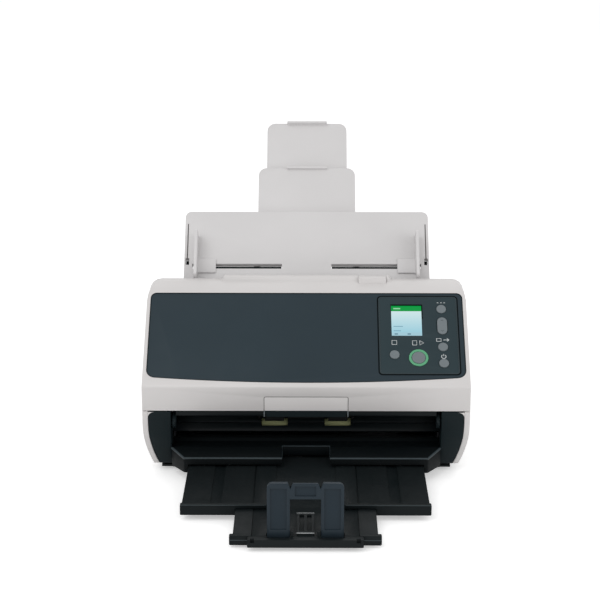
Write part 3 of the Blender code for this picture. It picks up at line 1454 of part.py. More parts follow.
def make_inner_guide():
    """The cover's paper guide: flat along the path, then opening out to the throat."""
    low = UPPER_GUIDE_OUT
    high = low + GUIDE_THICKNESS
    profile = [(0.006, low), (0.104, low), (0.1405, 0.0168), (0.1392, 0.0188), (0.1032, high), (0.006, high)]
    guide = slab("inner_guide", [profile], -COVER_INSIDE + GAP, COVER_INSIDE - GAP, "side", PATH, GUIDE_GREY)
    join(guide, guide_ribs("Upper ribs", low + 0.001, low - RIB_HEIGHT, 0.028, 0.102))
    ears = []
    half = PILLAR_INNER - 0.0048
    for along, tyre, width, shaft_out in idler_places():
        for x in (-tyre, tyre):
            for side in (-1, 1):
                edge = x + side * (width / 2 + 0.0010)
                far = x + side * (width / 2 + 0.0040)
                low_x, high_x = sorted((edge, far))
                foot = min(high - 0.0005, shaft_out - 0.0028) if along < 0.104 else 0.0074
                ears.append(((low_x, along - 0.0035, foot), (high_x, along + 0.0035, shaft_out + 0.0035)))
    lever_along, lever_out = lever_in_path()
    for side in (-1, 1):
        low_x, high_x = sorted((side * LEVER_BEARING_X, side * (LEVER_BEARING_X + 0.003)))
        ears.append(((low_x, lever_along - 0.003, 0.0125), (high_x, lever_along + 0.003, lever_out + 0.003)))
    join(guide, blocks("Idler ears", ears, PATH))
    low_cut, high_cut = low - 0.003, high + 0.012
    bores = []
    windows = []
    for along, tyre, width, shaft_out in idler_places():
        reach = tyre + width / 2 + 0.0065
        radius = IDLER_SHAFT_RADIUS + GAP
        bores.append(((-reach, along, shaft_out), radius, 2 * reach))
    bores.append(((-LEVER_BEARING_X - 0.0055, lever_along, lever_out), LEVER_SHAFT_RADIUS + GAP, 2 * LEVER_BEARING_X + 0.011))
    windows.append(tyre_windows("Upper eject windows", EJECT_ALONG, EJECT_TYRE, EJECT_TYRE_WIDTH, 0.0062, low_cut, high_cut))
    windows.append(tyre_windows("Upper feed windows", FEED_ALONG, FEED_TYRE, FEED_TYRE_WIDTH, 0.0062, low_cut, high_cut))
    brake = tyre_windows("Brake windows", PICK_ALONG, PICK_TYRE, PICK_TYRE_WIDTH, 0.0120, low_cut, 0.024)
    glass_low, glass_high = UPPER_HEAD_LOW + GLASS_EDGE, UPPER_HEAD_HIGH - GLASS_EDGE
    glass = block(
        "Upper glass window",
        (-GLASS_HALF_WIDTH - GAP, glass_low - GAP, low_cut),
        (GLASS_HALF_WIDTH + GAP, glass_high + GAP, high + 0.002),
        PATH,
    )
    corners = []
    for start, end in ((-HALF_WIDTH - 0.01, -half), (half, HALF_WIDTH + 0.01)):
        corners.append(((start, 0.0, -0.01), (end, 0.036, 0.02)))
    for start, end in ((-HALF_WIDTH - 0.01, -THROAT_HALF_WIDTH), (THROAT_HALF_WIDTH, HALF_WIDTH + 0.01)):
        corners.append(((start, 0.124, -0.01), (end, 0.150, 0.04)))
    corner_cut = blocks("Pillar room", corners, PATH)
    finger_slots = catch_slots("Upper catch slots", low_cut, 0.030)
    lever_room = block("Lever room", (LEVER_LEFT - 0.0008, 0.0880, 0.1435), (LEVER_RIGHT + 0.0008, 0.1120, 0.1700))
    cut(guide, drums("Idler bores", bores, "X", PATH, sides=12), *windows, brake, glass, corner_cut, finger_slots, lever_room)
    return guide


def lever_in_path():
    """The lever's axis measured along the path and out of it."""
    along, out = (PATH.inverted() @ Vector((0, LEVER_Y, LEVER_Z))).yz
    return along, out


def idler_places():
    """Place along the path, tyre middle, width and the shaft's distance out."""
    return (
        (EJECT_ALONG, EJECT_TYRE, EJECT_TYRE_WIDTH - 0.006, EJECT_IDLER_RADIUS + GAP / 2),
        (FEED_ALONG, FEED_TYRE, FEED_TYRE_WIDTH - 0.006, FEED_IDLER_RADIUS + GAP / 2),
        (PICK_ALONG, PICK_TYRE, PICK_TYRE_WIDTH - 0.002, BRAKE_RADIUS + GAP / 2),
    )


def make_idlers():
    for name, (along, tyre, width, out) in zip(("eject_idler", "feed_idler", "brake_roller"), idler_places()):
        radius = out - GAP / 2
        end = tyre + width / 2 + IDLER_SHAFT_END
        thin = IDLER_SHAFT_RADIUS
        profile = [(0.0, end), (thin, end)]
        for x in (tyre, -tyre):
            high, low = x + width / 2, x - width / 2
            profile += [(thin, high), (radius, high), (radius, low), (thin, low)]
        profile += [(thin, -end), (0.0, -end)]
        roller = turned(name, profile, lying(PATH, along, out), RUBBER, steps=18)
        y, z = path(along, out)
        move_together(name + "_axis", Matrix.Translation((0, y, z)), roller)


def make_hinge_arms():
    """Steel arms behind the paper guide, each with the pin that turns in its pillar."""
    eye = arc((HINGE_Y, HINGE_Z), HINGE_EYE_RADIUS, 150, 330, 10)
    high = UPPER_GUIDE_OUT + GUIDE_THICKNESS + GAP
    plan = [*eye, path(0.022, high), path(0.062, high), path(0.062, high + 0.010), path(0.045, high + 0.012)]
    hole_end = PILLAR_INNER + 0.010
    arms = []
    for side, start, pin_start in (
        ("left", -PILLAR_INNER + 0.0013, -hole_end + 0.0005),
        ("right", PILLAR_INNER - 0.0043, PILLAR_INNER - 0.0030),
    ):
        arm = slab(side + "_hinge_arm", [plan], start, start + 0.003, "side", material=STEEL)
        pin = ((pin_start, HINGE_Y, HINGE_Z), HINGE_PIN_RADIUS, 0.0125)
        arms.append(join(arm, drums(side + " hinge pin", [pin], "X", sides=16)))
    return arms


def make_upper_head():
    over = UPPER_GUIDE_OUT + GUIDE_THICKNESS + GAP
    head = block(
        "upper_scan_head",
        (-HEAD_HALF_WIDTH, UPPER_HEAD_LOW, over),
        (HEAD_HALF_WIDTH, UPPER_HEAD_HIGH, over + HEAD_DEPTH),
        PATH,
        PILLAR_GREY,
    )
    glass = block(
        "upper_glass",
        (-GLASS_HALF_WIDTH, UPPER_HEAD_LOW + GLASS_EDGE, UPPER_GUIDE_OUT + 0.0002),
        (GLASS_HALF_WIDTH, UPPER_HEAD_HIGH - GLASS_EDGE, over - GAP),
        PATH,
        GLASS,
    )
    return head, glass


# ---------------------------------------------------------------- operator panel


def capsule(centre, length, radius):
    x, y = centre
    reach = length / 2 - radius
    return arc((x, y + reach), radius, 0, 180, 8) + arc((x, y - reach), radius, 180, 360, 8)


def make_operator_panel():
    """The control plate with its screen, light ring and circuit board."""
    top = -0.0001
    plate_outline = rectangle(OPERATOR_LEFT, OPERATOR_LOW, OPERATOR_RIGHT, OPERATOR_HIGH, OPERATOR_CORNER)
    holes = [rectangle(SCREEN_LEFT, SCREEN_LOW, SCREEN_RIGHT, SCREEN_HIGH, 0.001)]
    holes += [circle(spot, BUTTON_RADIUS + GAP, 20) for spot in BUTTONS.values()]
    holes.append(circle(SCAN_PLACE, SCAN_RING_RADIUS + GAP, 28))
    holes.append(capsule(ROCKER_PLACE, ROCKER_LENGTH + 0.0010, BUTTON_RADIUS + 0.0005))
    plate = slab("operator_panel", [plate_outline, *holes], top - PANEL_THICKNESS, top, "top", PANEL, SLATE)
    ring = slab(
        "scan_ring",
        [circle(SCAN_PLACE, SCAN_RING_RADIUS, 28), circle(SCAN_PLACE, SCAN_RADIUS + GAP, 24)],
        top - PANEL_THICKNESS, 0.0003, "top", PANEL, RING_GREEN,
    )
    screen = block(
        "screen",
        (SCREEN_LEFT - 0.003, SCREEN_LOW - 0.004, -0.0056),
        (SCREEN_RIGHT + 0.003, SCREEN_HIGH + 0.003, top - PANEL_THICKNESS - GAP),
        PANEL,
        SCREEN,
    )
    pane = block(
        "Screen pane",
        (SCREEN_LEFT + GAP, SCREEN_LOW + GAP, -0.0040),
        (SCREEN_RIGHT - GAP, SCREEN_HIGH - GAP, -0.0008),
        PANEL,
    )
    join(screen, pane)
    board = block(
        "button_board",
        (OPERATOR_LEFT + 0.004, OPERATOR_LOW + 0.003, -BOARD_DROP - BOARD_THICKNESS),
        (OPERATOR_RIGHT - 0.004, OPERATOR_HIGH - 0.003, -BOARD_DROP),
        PANEL,
        BOARD_GREEN,
    )
    spots = [*BUTTONS.values(), SCAN_PLACE]
    x, y = ROCKER_PLACE
    spots += [(x, y - ROCKER_LENGTH / 2 + 0.0035), (x, y + ROCKER_LENGTH / 2 - 0.0035)]
    switches = [((x, y, -BOARD_DROP - 0.0005), 0.002, 0.0007) for x, y in spots]
    join(board, drums("Switches", switches, "Z", PANEL, sides=12))
    return plate, ring, screen, board


def make_buttons():
    low = BUTTON_PROUD - BUTTON_HEIGHT
    for name, spot in BUTTONS.items():
        place_button(name, [circle(spot, BUTTON_RADIUS, 20)], low, spot)
    place_button("scan_button", [circle(SCAN_PLACE, SCAN_RADIUS, 24)], low, SCAN_PLACE)
    rocker = slab(
        "rocker_button", [capsule(ROCKER_PLACE, ROCKER_LENGTH, BUTTON_RADIUS)], low, BUTTON_PROUD, "top", PANEL, BUTTON_GREY
    )
    move_together("rocker_button_axis", PANEL @ Matrix.Translation((*ROCKER_PLACE, -PANEL_THICKNESS)), rocker)


def place_button(name, outlines, low, spot):
    button = slab(name, outlines, low, BUTTON_PROUD, "top", PANEL, BUTTON_GREY)
    soften(button, 0.0004)
    move_together(name + "_slide", PANEL @ Matrix.Translation((*spot, 0)), button)


# ---------------------------------------------------------------- release lever



def make_release_lever():
    """A cap in the hump on a cross shaft, with a finger at each end beside the paper."""
    cap = block(
        "release_lever", (LEVER_LEFT, LEVER_Y + 0.0012, LEVER_Z - 0.001), (LEVER_RIGHT, LEVER_Y + 0.0110, HUMP_Z), material=WHITE
    )
    shaft = drums(
        "Lever shaft", [((-FINGER_X - 0.002, LEVER_Y, LEVER_Z), LEVER_SHAFT_RADIUS, 2 * FINGER_X + 0.004)], "X", sides=14
    )
    tip = path(0.127, -0.0045)
    tip_back = path(0.130, -0.0045)
    finger = [
        (LEVER_Y - 0.003, LEVER_Z + 0.0025),
        (LEVER_Y - 0.003, LEVER_Z - 0.004),
        tip,
        tip_back,
        (LEVER_Y + 0.003, LEVER_Z - 0.004),
        (LEVER_Y + 0.003, LEVER_Z + 0.0025),
    ]
    fingers = [slab("Lever finger", [finger], x - 0.0015, x + 0.0015, "side") for x in (-FINGER_X, FINGER_X)]
    join(cap, shaft, *fingers)
    move_together("release_lever_axis", Matrix.Translation((0, LEVER_Y, LEVER_Z)), cap)


make_base()
make_drive()
make_electronics()
make_tray()
make_stacker()
make_chute()
make_cover()

# The origin is on the ground under the middle of the whole machine.
rear = path(CHUTE_SECOND_HIGH, CHUTE_OUT - CHUTE_THICKNESS - 2 * GAP - 2 * CHUTE_EXTENSION_THICKNESS)[0]
root.location.y = -(SECOND_FRONT + rear) / 2
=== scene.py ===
# Desktop document scanner in a plain studio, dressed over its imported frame
import json
import math

import bpy
from mathutils import Matrix, Vector


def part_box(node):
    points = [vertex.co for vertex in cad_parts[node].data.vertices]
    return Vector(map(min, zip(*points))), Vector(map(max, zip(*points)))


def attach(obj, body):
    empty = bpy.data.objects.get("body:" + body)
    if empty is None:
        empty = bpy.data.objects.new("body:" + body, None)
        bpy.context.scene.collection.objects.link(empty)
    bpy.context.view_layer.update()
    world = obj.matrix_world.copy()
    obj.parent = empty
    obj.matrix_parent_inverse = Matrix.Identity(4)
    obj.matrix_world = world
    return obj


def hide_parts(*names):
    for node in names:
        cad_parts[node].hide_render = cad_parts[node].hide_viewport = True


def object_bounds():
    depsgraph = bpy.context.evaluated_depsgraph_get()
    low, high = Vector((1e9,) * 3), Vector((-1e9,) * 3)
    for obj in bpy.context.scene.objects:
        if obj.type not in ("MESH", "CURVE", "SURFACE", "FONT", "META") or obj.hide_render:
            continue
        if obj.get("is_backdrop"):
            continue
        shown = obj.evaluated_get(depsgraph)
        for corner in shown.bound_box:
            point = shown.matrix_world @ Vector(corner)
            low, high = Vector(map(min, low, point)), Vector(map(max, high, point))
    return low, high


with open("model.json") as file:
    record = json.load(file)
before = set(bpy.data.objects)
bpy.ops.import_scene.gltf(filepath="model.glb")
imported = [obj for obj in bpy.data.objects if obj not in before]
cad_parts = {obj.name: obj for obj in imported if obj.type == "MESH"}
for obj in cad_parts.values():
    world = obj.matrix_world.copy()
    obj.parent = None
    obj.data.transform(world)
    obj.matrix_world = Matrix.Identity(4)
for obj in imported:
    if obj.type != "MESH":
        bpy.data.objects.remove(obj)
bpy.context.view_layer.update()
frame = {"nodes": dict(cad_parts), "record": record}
bodyOf = {node: body for body, nodes in frame["record"]["behaviour"]["bodies"].items() for node in nodes}
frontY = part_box("cover_shell")[0].y  # the cover's front face, where the drawing's Y is 0
print("frame loaded:", len(bodyOf), "nodes")


# the two slopes that the face and the chute follow, as frames with Z out of the surface
def slopeFrame(y, z, degrees):
    return Matrix.Translation((0, frontY + y, z)) @ Matrix.Rotation(math.radians(degrees), 4, "X")


panelSlope = slopeFrame(0.003, 0.0882, 40)
chuteSlope = slopeFrame(0.022, 0.036, 50.3)


def linear(red, green, blue):
    # a colour as a paint programme writes it, made linear
    made = []
    for value in (red, green, blue):
        value /= 255
        made.append(value / 12.92 if value <= 0.04045 else ((value + 0.055) / 1.055) ** 2.4)
    return (*made, 1)


# the studio: camera, room, floor and lamps
studio = {
    "cameraAt": (0.004, frontY - 1.460, 0.6035),
    "tilt": 16.6,
    "turn": 0.375,
    "lens": 102,
    "sensor": 36,
    "farthest": 50,
    "roomLight": 0.62,
    "floorSize": 14,
    "floorDrop": 0.0002,
    "floorWhite": (0.93, 0.93, 0.93, 1),
    "floorRough": 0.9,
    "floorGlow": 0.42,
}
# each lamp's place, aim, size and power
lamps = {
    "keyLamp": ((-1.1, frontY - 1.3, 1.9), (0, 0, 0.1), (1.8, 1.8), 15),
    "fillLamp": ((1.5, frontY - 1.1, 0.9), (0, 0, 0.1), (1.4, 1.4), 6),
    "backLamp": ((0.2, frontY + 1.9, 1.7), (0, 0, 0.1), (1.8, 1.2), 5),
}


def addCamera():
    camera = bpy.data.objects.new("pictureCamera", bpy.data.cameras.new("pictureCamera"))
    bpy.context.scene.collection.objects.link(camera)
    camera.location = studio["cameraAt"]
    camera.rotation_euler = (math.radians(90 - studio["tilt"]), 0, math.radians(studio["turn"]))
    camera.data.lens = studio["lens"]
    camera.data.sensor_width = studio["sensor"]
    camera.data.clip_end = studio["farthest"]
    bpy.context.scene.camera = camera


def addLamp(name, place, aim, size, power):
    lamp = bpy.data.objects.new(name, bpy.data.lights.new(name, "AREA"))
    bpy.context.scene.collection.objects.link(lamp)
    lamp.data.shape = "RECTANGLE"
    lamp.data.size, lamp.data.size_y = size
    lamp.data.energy = power
    lamp.location = place
    lamp.rotation_euler = (Vector(aim) - Vector(place)).to_track_quat("-Z", "Y").to_euler()


def seenDirectly(tree):
    # 1 where the camera looks straight, by a reflection or through glass
    nodes, links = tree.nodes, tree.links
    path = nodes.new("ShaderNodeLightPath")
    glossy = nodes.new("ShaderNodeMath")
    glossy.operation = "MAXIMUM"
    clear = nodes.new("ShaderNodeMath")
    clear.operation = "MAXIMUM"
    links.new(path.outputs["Is Camera Ray"], glossy.inputs[0])
    links.new(path.outputs["Is Glossy Ray"], glossy.inputs[1])
    links.new(glossy.outputs[0], clear.inputs[0])
    links.new(path.outputs["Is Transmission Ray"], clear.inputs[1])
    return clear.outputs[0]


def addRoom():
    world = bpy.data.worlds.new("studioRoom")
    bpy.context.scene.world = world
    world.use_nodes = True
    tree = world.node_tree
    tree.nodes.clear()
    choose = tree.nodes.new("ShaderNodeMixShader")
    output = tree.nodes.new("ShaderNodeOutputWorld")
    tree.links.new(seenDirectly(tree), choose.inputs[0])
    # the room lights with the first strength and is seen with the second, as plain white
    for socket, strength in ((1, studio["roomLight"]), (2, 1)):
        light = tree.nodes.new("ShaderNodeBackground")
        light.inputs["Color"].default_value = (1, 1, 1, 1)
        light.inputs["Strength"].default_value = strength
        tree.links.new(light.outputs[0], choose.inputs[socket])
    tree.links.new(choose.outputs[0], output.inputs["Surface"])


def addFloor():
    bpy.ops.mesh.primitive_plane_add(size=studio["floorSize"], location=(0, 0, -studio["floorDrop"]))
    floor = bpy.context.object
    floor.name = "studioFloor"
    paint = bpy.data.materials.new("floorPaint")
    paint.use_nodes = True
    tree = paint.node_tree
    shader = tree.nodes["Principled BSDF"]
    shader.inputs["Roughness"].default_value = studio["floorRough"]
    shader.inputs["Specular IOR Level"].default_value = 0.0
    shader.inputs["Base Color"].default_value = studio["floorWhite"]
    glow = tree.nodes.new("ShaderNodeEmission")
    glow.inputs["Strength"].default_value = studio["floorGlow"]
    both = tree.nodes.new("ShaderNodeAddShader")
    choose = tree.nodes.new("ShaderNodeMixShader")
    tree.links.new(shader.outputs[0], both.inputs[0])
    tree.links.new(glow.outputs[0], both.inputs[1])
    tree.links.new(seenDirectly(tree), choose.inputs[0])
    tree.links.new(shader.outputs[0], choose.inputs[1])
    tree.links.new(both.outputs[0], choose.inputs[2])
    tree.links.new(choose.outputs[0], tree.nodes["Material Output"].inputs["Surface"])
    floor.data.materials.append(paint)
    floor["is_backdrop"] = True


bpy.context.scene.view_settings.view_transform = "Standard"
addCamera()
addRoom()
addFloor()
for name, values in lamps.items():
    addLamp(name, *values)
print("studio ready")


# finishes: colour, roughness, grain (waves a metre) and its depth, mottling, edge wear, shine
plasticFinishes = {
    "shellPlastic": ((217, 214, 213), 0.40, 2600, 0.000012, 0.02, 0.10, 0.5),
    "chutePlastic": ((216, 214, 214), 0.42, 2600, 0.000014, 0.02, 0.08, 0.5),
    "slatePlastic": ((40, 53, 60), 0.46, 3200, 0.000014, 0.05, 0.10, 0.18),
    "controlPlastic": ((41, 56, 61), 0.44, 3600, 0.000010, 0.04, 0.12, 0.18),
    "edgePlastic": ((14, 21, 25), 0.5, 3200, 0.000008, 0.05, 0.0, 0.15),
    "seamPlastic": ((104, 101, 100), 0.55, 3200, 0.000008, 0.05, 0.0, 0.3),
    "pillarPlastic": ((17, 27, 30), 0.46, 2400, 0.000014, 0.08, 0.12, 0.11),
    "trayPlastic": ((11, 18, 20), 0.48, 2200, 0.000020, 0.10, 0.16, 0.12),
    "housingPlastic": ((7, 12, 14), 0.50, 2200, 0.000018, 0.10, 0.14, 0.08),
    "stopperPlastic": ((33, 44, 52), 0.42, 2600, 0.000012, 0.06, 0.14, 0.16),
    "guidePlastic": ((13, 19, 21), 0.42, 2600, 0.000010, 0.08, 0.12, 0.12),
    "keyPlastic": ((116, 124, 128), 0.40, 4200, 0.000008, 0.04, 0.08, 0.3),
    "nylonPlastic": ((205, 200, 188), 0.45, 3000, 0.000008, 0.05, 0.05, 0.5),
    "tyreRubber": ((150, 153, 112), 0.78, 1500, 0.000035, 0.10, 0.10, 0.15),
    "blackRubber": ((28, 29, 29), 0.82, 1800, 0.000030, 0.12, 0.10, 0.15),
    "boardMask": ((28, 98, 62), 0.35, 1800, 0.000010, 0.10, 0.0, 0.5),
    # print for the button marks, and also laid as painted highlight on the stacker frame's top edges
    "markInkAndHighlight": ((205, 209, 210), 0.6, 5000, 0.000004, 0.03, 0.0, 0.3),
    # painted highlight: a lighter slate laid as thin lines where edges catch the light
    "paintedHighlight": ((46, 56, 60), 0.40, 2600, 0.000010, 0.06, 0.10, 0.3),
    # painted shade: near-black laid in the operator panel's groove and along the screen's upper and right edges
    "paintedShade": ((5, 9, 11), 0.6, 3200, 0.000008, 0.05, 0.0, 0.05),
    "goldContact": ((196, 164, 92), 0.3, 2600, 0.000006, 0.06, 0.1, 0.8),
}
# the other finishes: colour and roughness, and for the clear ones how much light goes through
steelFinishes = {
    "bareSteel": ((196, 197, 199), 0.34),
    "motorSteel": ((150, 152, 155), 0.42),
    "darkSteel": ((62, 64, 67), 0.5),
}
clearFinishes = {
    "clearGlass": ((225, 236, 232), 0.03, 0.9),
    "greenRing": ((96, 178, 132), 0.22, 0.15),
}
# waves a metre of tone and roughness, the spread of roughness, and how far colours are moved
plasticLook = {
    "toneScale": 14,
    "roughScale": 60,
    "rougher": (-0.05, 0.06),
    "sharp": (0.52, 0.62),
    "rubbed": (1.35, 0.03),
    "grainDetail": 2.0,
    "grainStrength": 0.8,
}
steelLook = {
    "brushed": (0.06, 1, 1),  # drawn out along X
    "toneScale": 900,
    "roughScale": 1400,
    "grainScale": 1800,
    "rougher": (-0.08, 0.1),
    "dark": 0.88,
    "grainDepth": 0.000006,
}
clearLook = {"index": 1.5, "toneScale": 40, "roughScale": 120, "rougher": 0.08, "dark": 0.93}
noiseSpan = (0.3, 0.7)  # the part of a noise's range that is drawn out to its levels


def startPaint(name):
    # a new material, its node tree, its shader and the place on the piece
    paint = bpy.data.materials.new(name)
    paint.use_nodes = True
    tree = paint.node_tree
    return paint, tree, tree.nodes["Principled BSDF"], tree.nodes.new("ShaderNodeTexCoord").outputs["Object"]


def shaded(base, share, lift=0.0):
    # a linear colour made lighter or darker, with no channel past white
    return tuple(min(1, value * share + lift) for value in base[:3]) + (1,)


def mixColours(tree, factor, first, second):
    # factor and first may be sockets of other nodes
    mix = tree.nodes.new("ShaderNodeMix")
    mix.data_type = "RGBA"
    mix.inputs["B"].default_value = second
    tree.links.new(factor, mix.inputs["Factor"])
    if isinstance(first, bpy.types.NodeSocket):
        tree.links.new(first, mix.inputs["A"])
    else:
        mix.inputs["A"].default_value = first
    return mix.outputs["Result"]


def noiseLevels(tree, place, scale, low, high, detail=3.0):
    nodes, links = tree.nodes, tree.links
    noise = nodes.new("ShaderNodeTexNoise")
    noise.inputs["Scale"].default_value = scale
    noise.inputs["Detail"].default_value = detail
    levels = nodes.new("ShaderNodeMapRange")
    levels.inputs["From Min"].default_value, levels.inputs["From Max"].default_value = noiseSpan
    levels.inputs["To Min"].default_value = low
    levels.inputs["To Max"].default_value = high
    links.new(place, noise.inputs["Vector"])
    links.new(noise.outputs["Fac"], levels.inputs["Value"])
    return levels.outputs["Result"]


def addBump(tree, shader, height, depth, strength=1.0):
    bump = tree.nodes.new("ShaderNodeBump")
    bump.inputs["Distance"].default_value = depth
    bump.inputs["Strength"].default_value = strength
    tree.links.new(height, bump.inputs["Height"])
    tree.links.new(bump.outputs["Normal"], shader.inputs["Normal"])


def makePlastic(name, colour, rough, grain, depth, mottle, wear, shine):
    paint, tree, shader, place = startPaint(name)
    nodes, links = tree.nodes, tree.links
    shader.inputs["Specular IOR Level"].default_value = shine
    base = linear(*colour)
    # broad, faint differences in tone
    patches = noiseLevels(tree, place, plasticLook["toneScale"], 0, 1)
    tone = mixColours(tree, patches, shaded(base, 1 - mottle), shaded(base, 1 + mottle))
    # rubbed edges come out a little lighter
    sharp = nodes.new("ShaderNodeMapRange")
    sharp.inputs["From Min"].default_value, sharp.inputs["From Max"].default_value = plasticLook["sharp"]
    sharp.inputs["To Max"].default_value = wear
    links.new(nodes.new("ShaderNodeNewGeometry").outputs["Pointiness"], sharp.inputs["Value"])
    rubbed = mixColours(tree, sharp.outputs["Result"], tone, shaded(base, *plasticLook["rubbed"]))
    links.new(rubbed, shader.inputs["Base Color"])
    low, high = plasticLook["rougher"]
    levels = noiseLevels(tree, place, plasticLook["roughScale"], rough + low, rough + high)
    links.new(levels, shader.inputs["Roughness"])
    # the mould's fine grain
    fine = noiseLevels(tree, place, grain, 0, 1, plasticLook["grainDetail"])
    addBump(tree, shader, fine, depth, plasticLook["grainStrength"])
    return paint


def makeSteel(name, colour, rough):
    paint, tree, shader, place = startPaint(name)
    nodes, links = tree.nodes, tree.links
    shader.inputs["Metallic"].default_value = 1.0
    stretch = nodes.new("ShaderNodeMapping")
    stretch.inputs["Scale"].default_value = steelLook["brushed"]
    links.new(place, stretch.inputs["Vector"])
    brushed = stretch.outputs[0]
    base = linear(*colour)
    streaks = noiseLevels(tree, brushed, steelLook["toneScale"], 0, 1)
    links.new(mixColours(tree, streaks, shaded(base, steelLook["dark"]), base), shader.inputs["Base Color"])
    low, high = steelLook["rougher"]
    levels = noiseLevels(tree, brushed, steelLook["roughScale"], rough + low, rough + high)
    links.new(levels, shader.inputs["Roughness"])
    addBump(tree, shader, noiseLevels(tree, brushed, steelLook["grainScale"], 0, 1), steelLook["grainDepth"])
    return paint


def makeClear(name, colour, rough, weight):
    # glass and the light ring: clear, with faint wiping marks in the roughness
    paint, tree, shader, place = startPaint(name)
    shader.inputs["Transmission Weight"].default_value = weight
    shader.inputs["IOR"].default_value = clearLook["index"]
    base = linear(*colour)
    patches = noiseLevels(tree, place, clearLook["toneScale"], 0, 1)
    tree.links.new(mixColours(tree, patches, shaded(base, clearLook["dark"]), base), shader.inputs["Base Color"])
    wiped = noiseLevels(tree, place, clearLook["roughScale"], rough, rough + clearLook["rougher"])
    tree.links.new(wiped, shader.inputs["Roughness"])
    return paint


paints = {name: makePlastic(name, *values) for name, values in plasticFinishes.items()}
paints.update((name, makeSteel(name, *values)) for name, values in steelFinishes.items())
paints.update((name, makeClear(name, *values)) for name, values in clearFinishes.items())
print("finishes mixed:", len(paints))


# the display: a lit panel, lighter towards its title strip
screenLook = {
    "left": 0.0793,
    "right": 0.1077,
    "low": 0.0518,
    "titleLow": 0.0790,
    "lowColour": (152, 208, 226),
    "highColour": (214, 238, 240),
    "glow": 0.92,
    "glassColour": (0.004, 0.004, 0.004, 1),
    "shine": 0.06,
    "roughScale": 90,
    "rough": (0.12, 0.22),
    "rim": 0.0004,
    "depth": 0.0012,
}
# what is drawn on it: left, right, low, high, and the colour
screenPatches = [
    ((0.0793, 0.1077, 0.0790, 0.0851), (0, 156, 66)),  # title strip
    ((0.0793, 0.1077, 0.0518, 0.0556), (168, 208, 222)),  # foot strip
    ((0.0812, 0.0900, 0.0617, 0.0626), (128, 172, 190)),  # two rows
    ((0.0812, 0.0880, 0.0569, 0.0578), (128, 172, 190)),
    ((0.0820, 0.0852, 0.0530, 0.0546), (112, 150, 168)),  # two keys in the foot strip
    ((0.0940, 0.0972, 0.0530, 0.0546), (112, 150, 168)),
    ((0.0815, 0.0880, 0.0812, 0.0826), (150, 214, 172)),  # a line in the title strip
]


def makeDisplay():
    paint, tree, shader, place = startPaint("displayPane")
    nodes, links = tree.nodes, tree.links
    split = nodes.new("ShaderNodeSeparateXYZ")
    links.new(place, split.inputs[0])
    across = split.outputs["X"]
    # height above the panel's lower edge, along its slope
    climb = nodes.new("ShaderNodeVectorMath")
    climb.operation = "SUBTRACT"
    climb.inputs[1].default_value = panelSlope.translation
    links.new(place, climb.inputs[0])
    along = nodes.new("ShaderNodeVectorMath")
    along.operation = "DOT_PRODUCT"
    along.inputs[1].default_value = panelSlope.to_3x3() @ Vector((0, 1, 0))
    links.new(climb.outputs["Vector"], along.inputs[0])
    height = along.outputs["Value"]

    def band(value, low, high):
        inside = nodes.new("ShaderNodeMath")
        inside.operation = "COMPARE"
        inside.inputs[1].default_value = (low + high) / 2
        inside.inputs[2].default_value = (high - low) / 2
        links.new(value, inside.inputs[0])
        return inside.outputs[0]

    def patch(x0, x1, y0, y1):
        both = nodes.new("ShaderNodeMath")
        both.operation = "MULTIPLY"
        links.new(band(across, x0, x1), both.inputs[0])
        links.new(band(height, y0, y1), both.inputs[1])
        return both.outputs[0]

    # a vector map range: input 6 is the value, 7 to 10 its ends before and after
    colour = nodes.new("ShaderNodeMapRange")
    colour.data_type = "FLOAT_VECTOR"
    colour.inputs[7].default_value = (screenLook["low"],) * 3
    colour.inputs[8].default_value = (screenLook["titleLow"],) * 3
    colour.inputs[9].default_value = linear(*screenLook["lowColour"])[:3]
    colour.inputs[10].default_value = linear(*screenLook["highColour"])[:3]
    links.new(height, colour.inputs[6])
    current = colour.outputs[1]
    for area, shade in screenPatches:
        current = mixColours(tree, patch(*area), current, linear(*shade))
    shader.inputs["Base Color"].default_value = screenLook["glassColour"]
    shader.inputs["Specular IOR Level"].default_value = screenLook["shine"]
    links.new(current, shader.inputs["Emission Color"])
    shader.inputs["Emission Strength"].default_value = screenLook["glow"]
    links.new(noiseLevels(tree, place, screenLook["roughScale"], *screenLook["rough"]), shader.inputs["Roughness"])
    return paint


paints["displayPane"] = makeDisplay()


# limits for joining corners and for shading, in metres and degrees
meshLook = {"merge": 0.000005, "flat": 0.6, "sharp": 32, "smooth": 40}


def smoothed(piece):
    bpy.ops.object.shade_smooth_by_angle(angle=math.radians(meshLook["smooth"]))
    return piece


def placed(piece, paint, body):
    # an added piece's finish and the body it rides
    piece.data.materials.append(paints[paint])
    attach(piece, body)
    return piece


# select one piece alone, for the operators that work on what is selected
def onlySelect(piece):
    bpy.ops.object.select_all(action="DESELECT")
    piece.select_set(True)
    bpy.context.view_layer.objects.active = piece


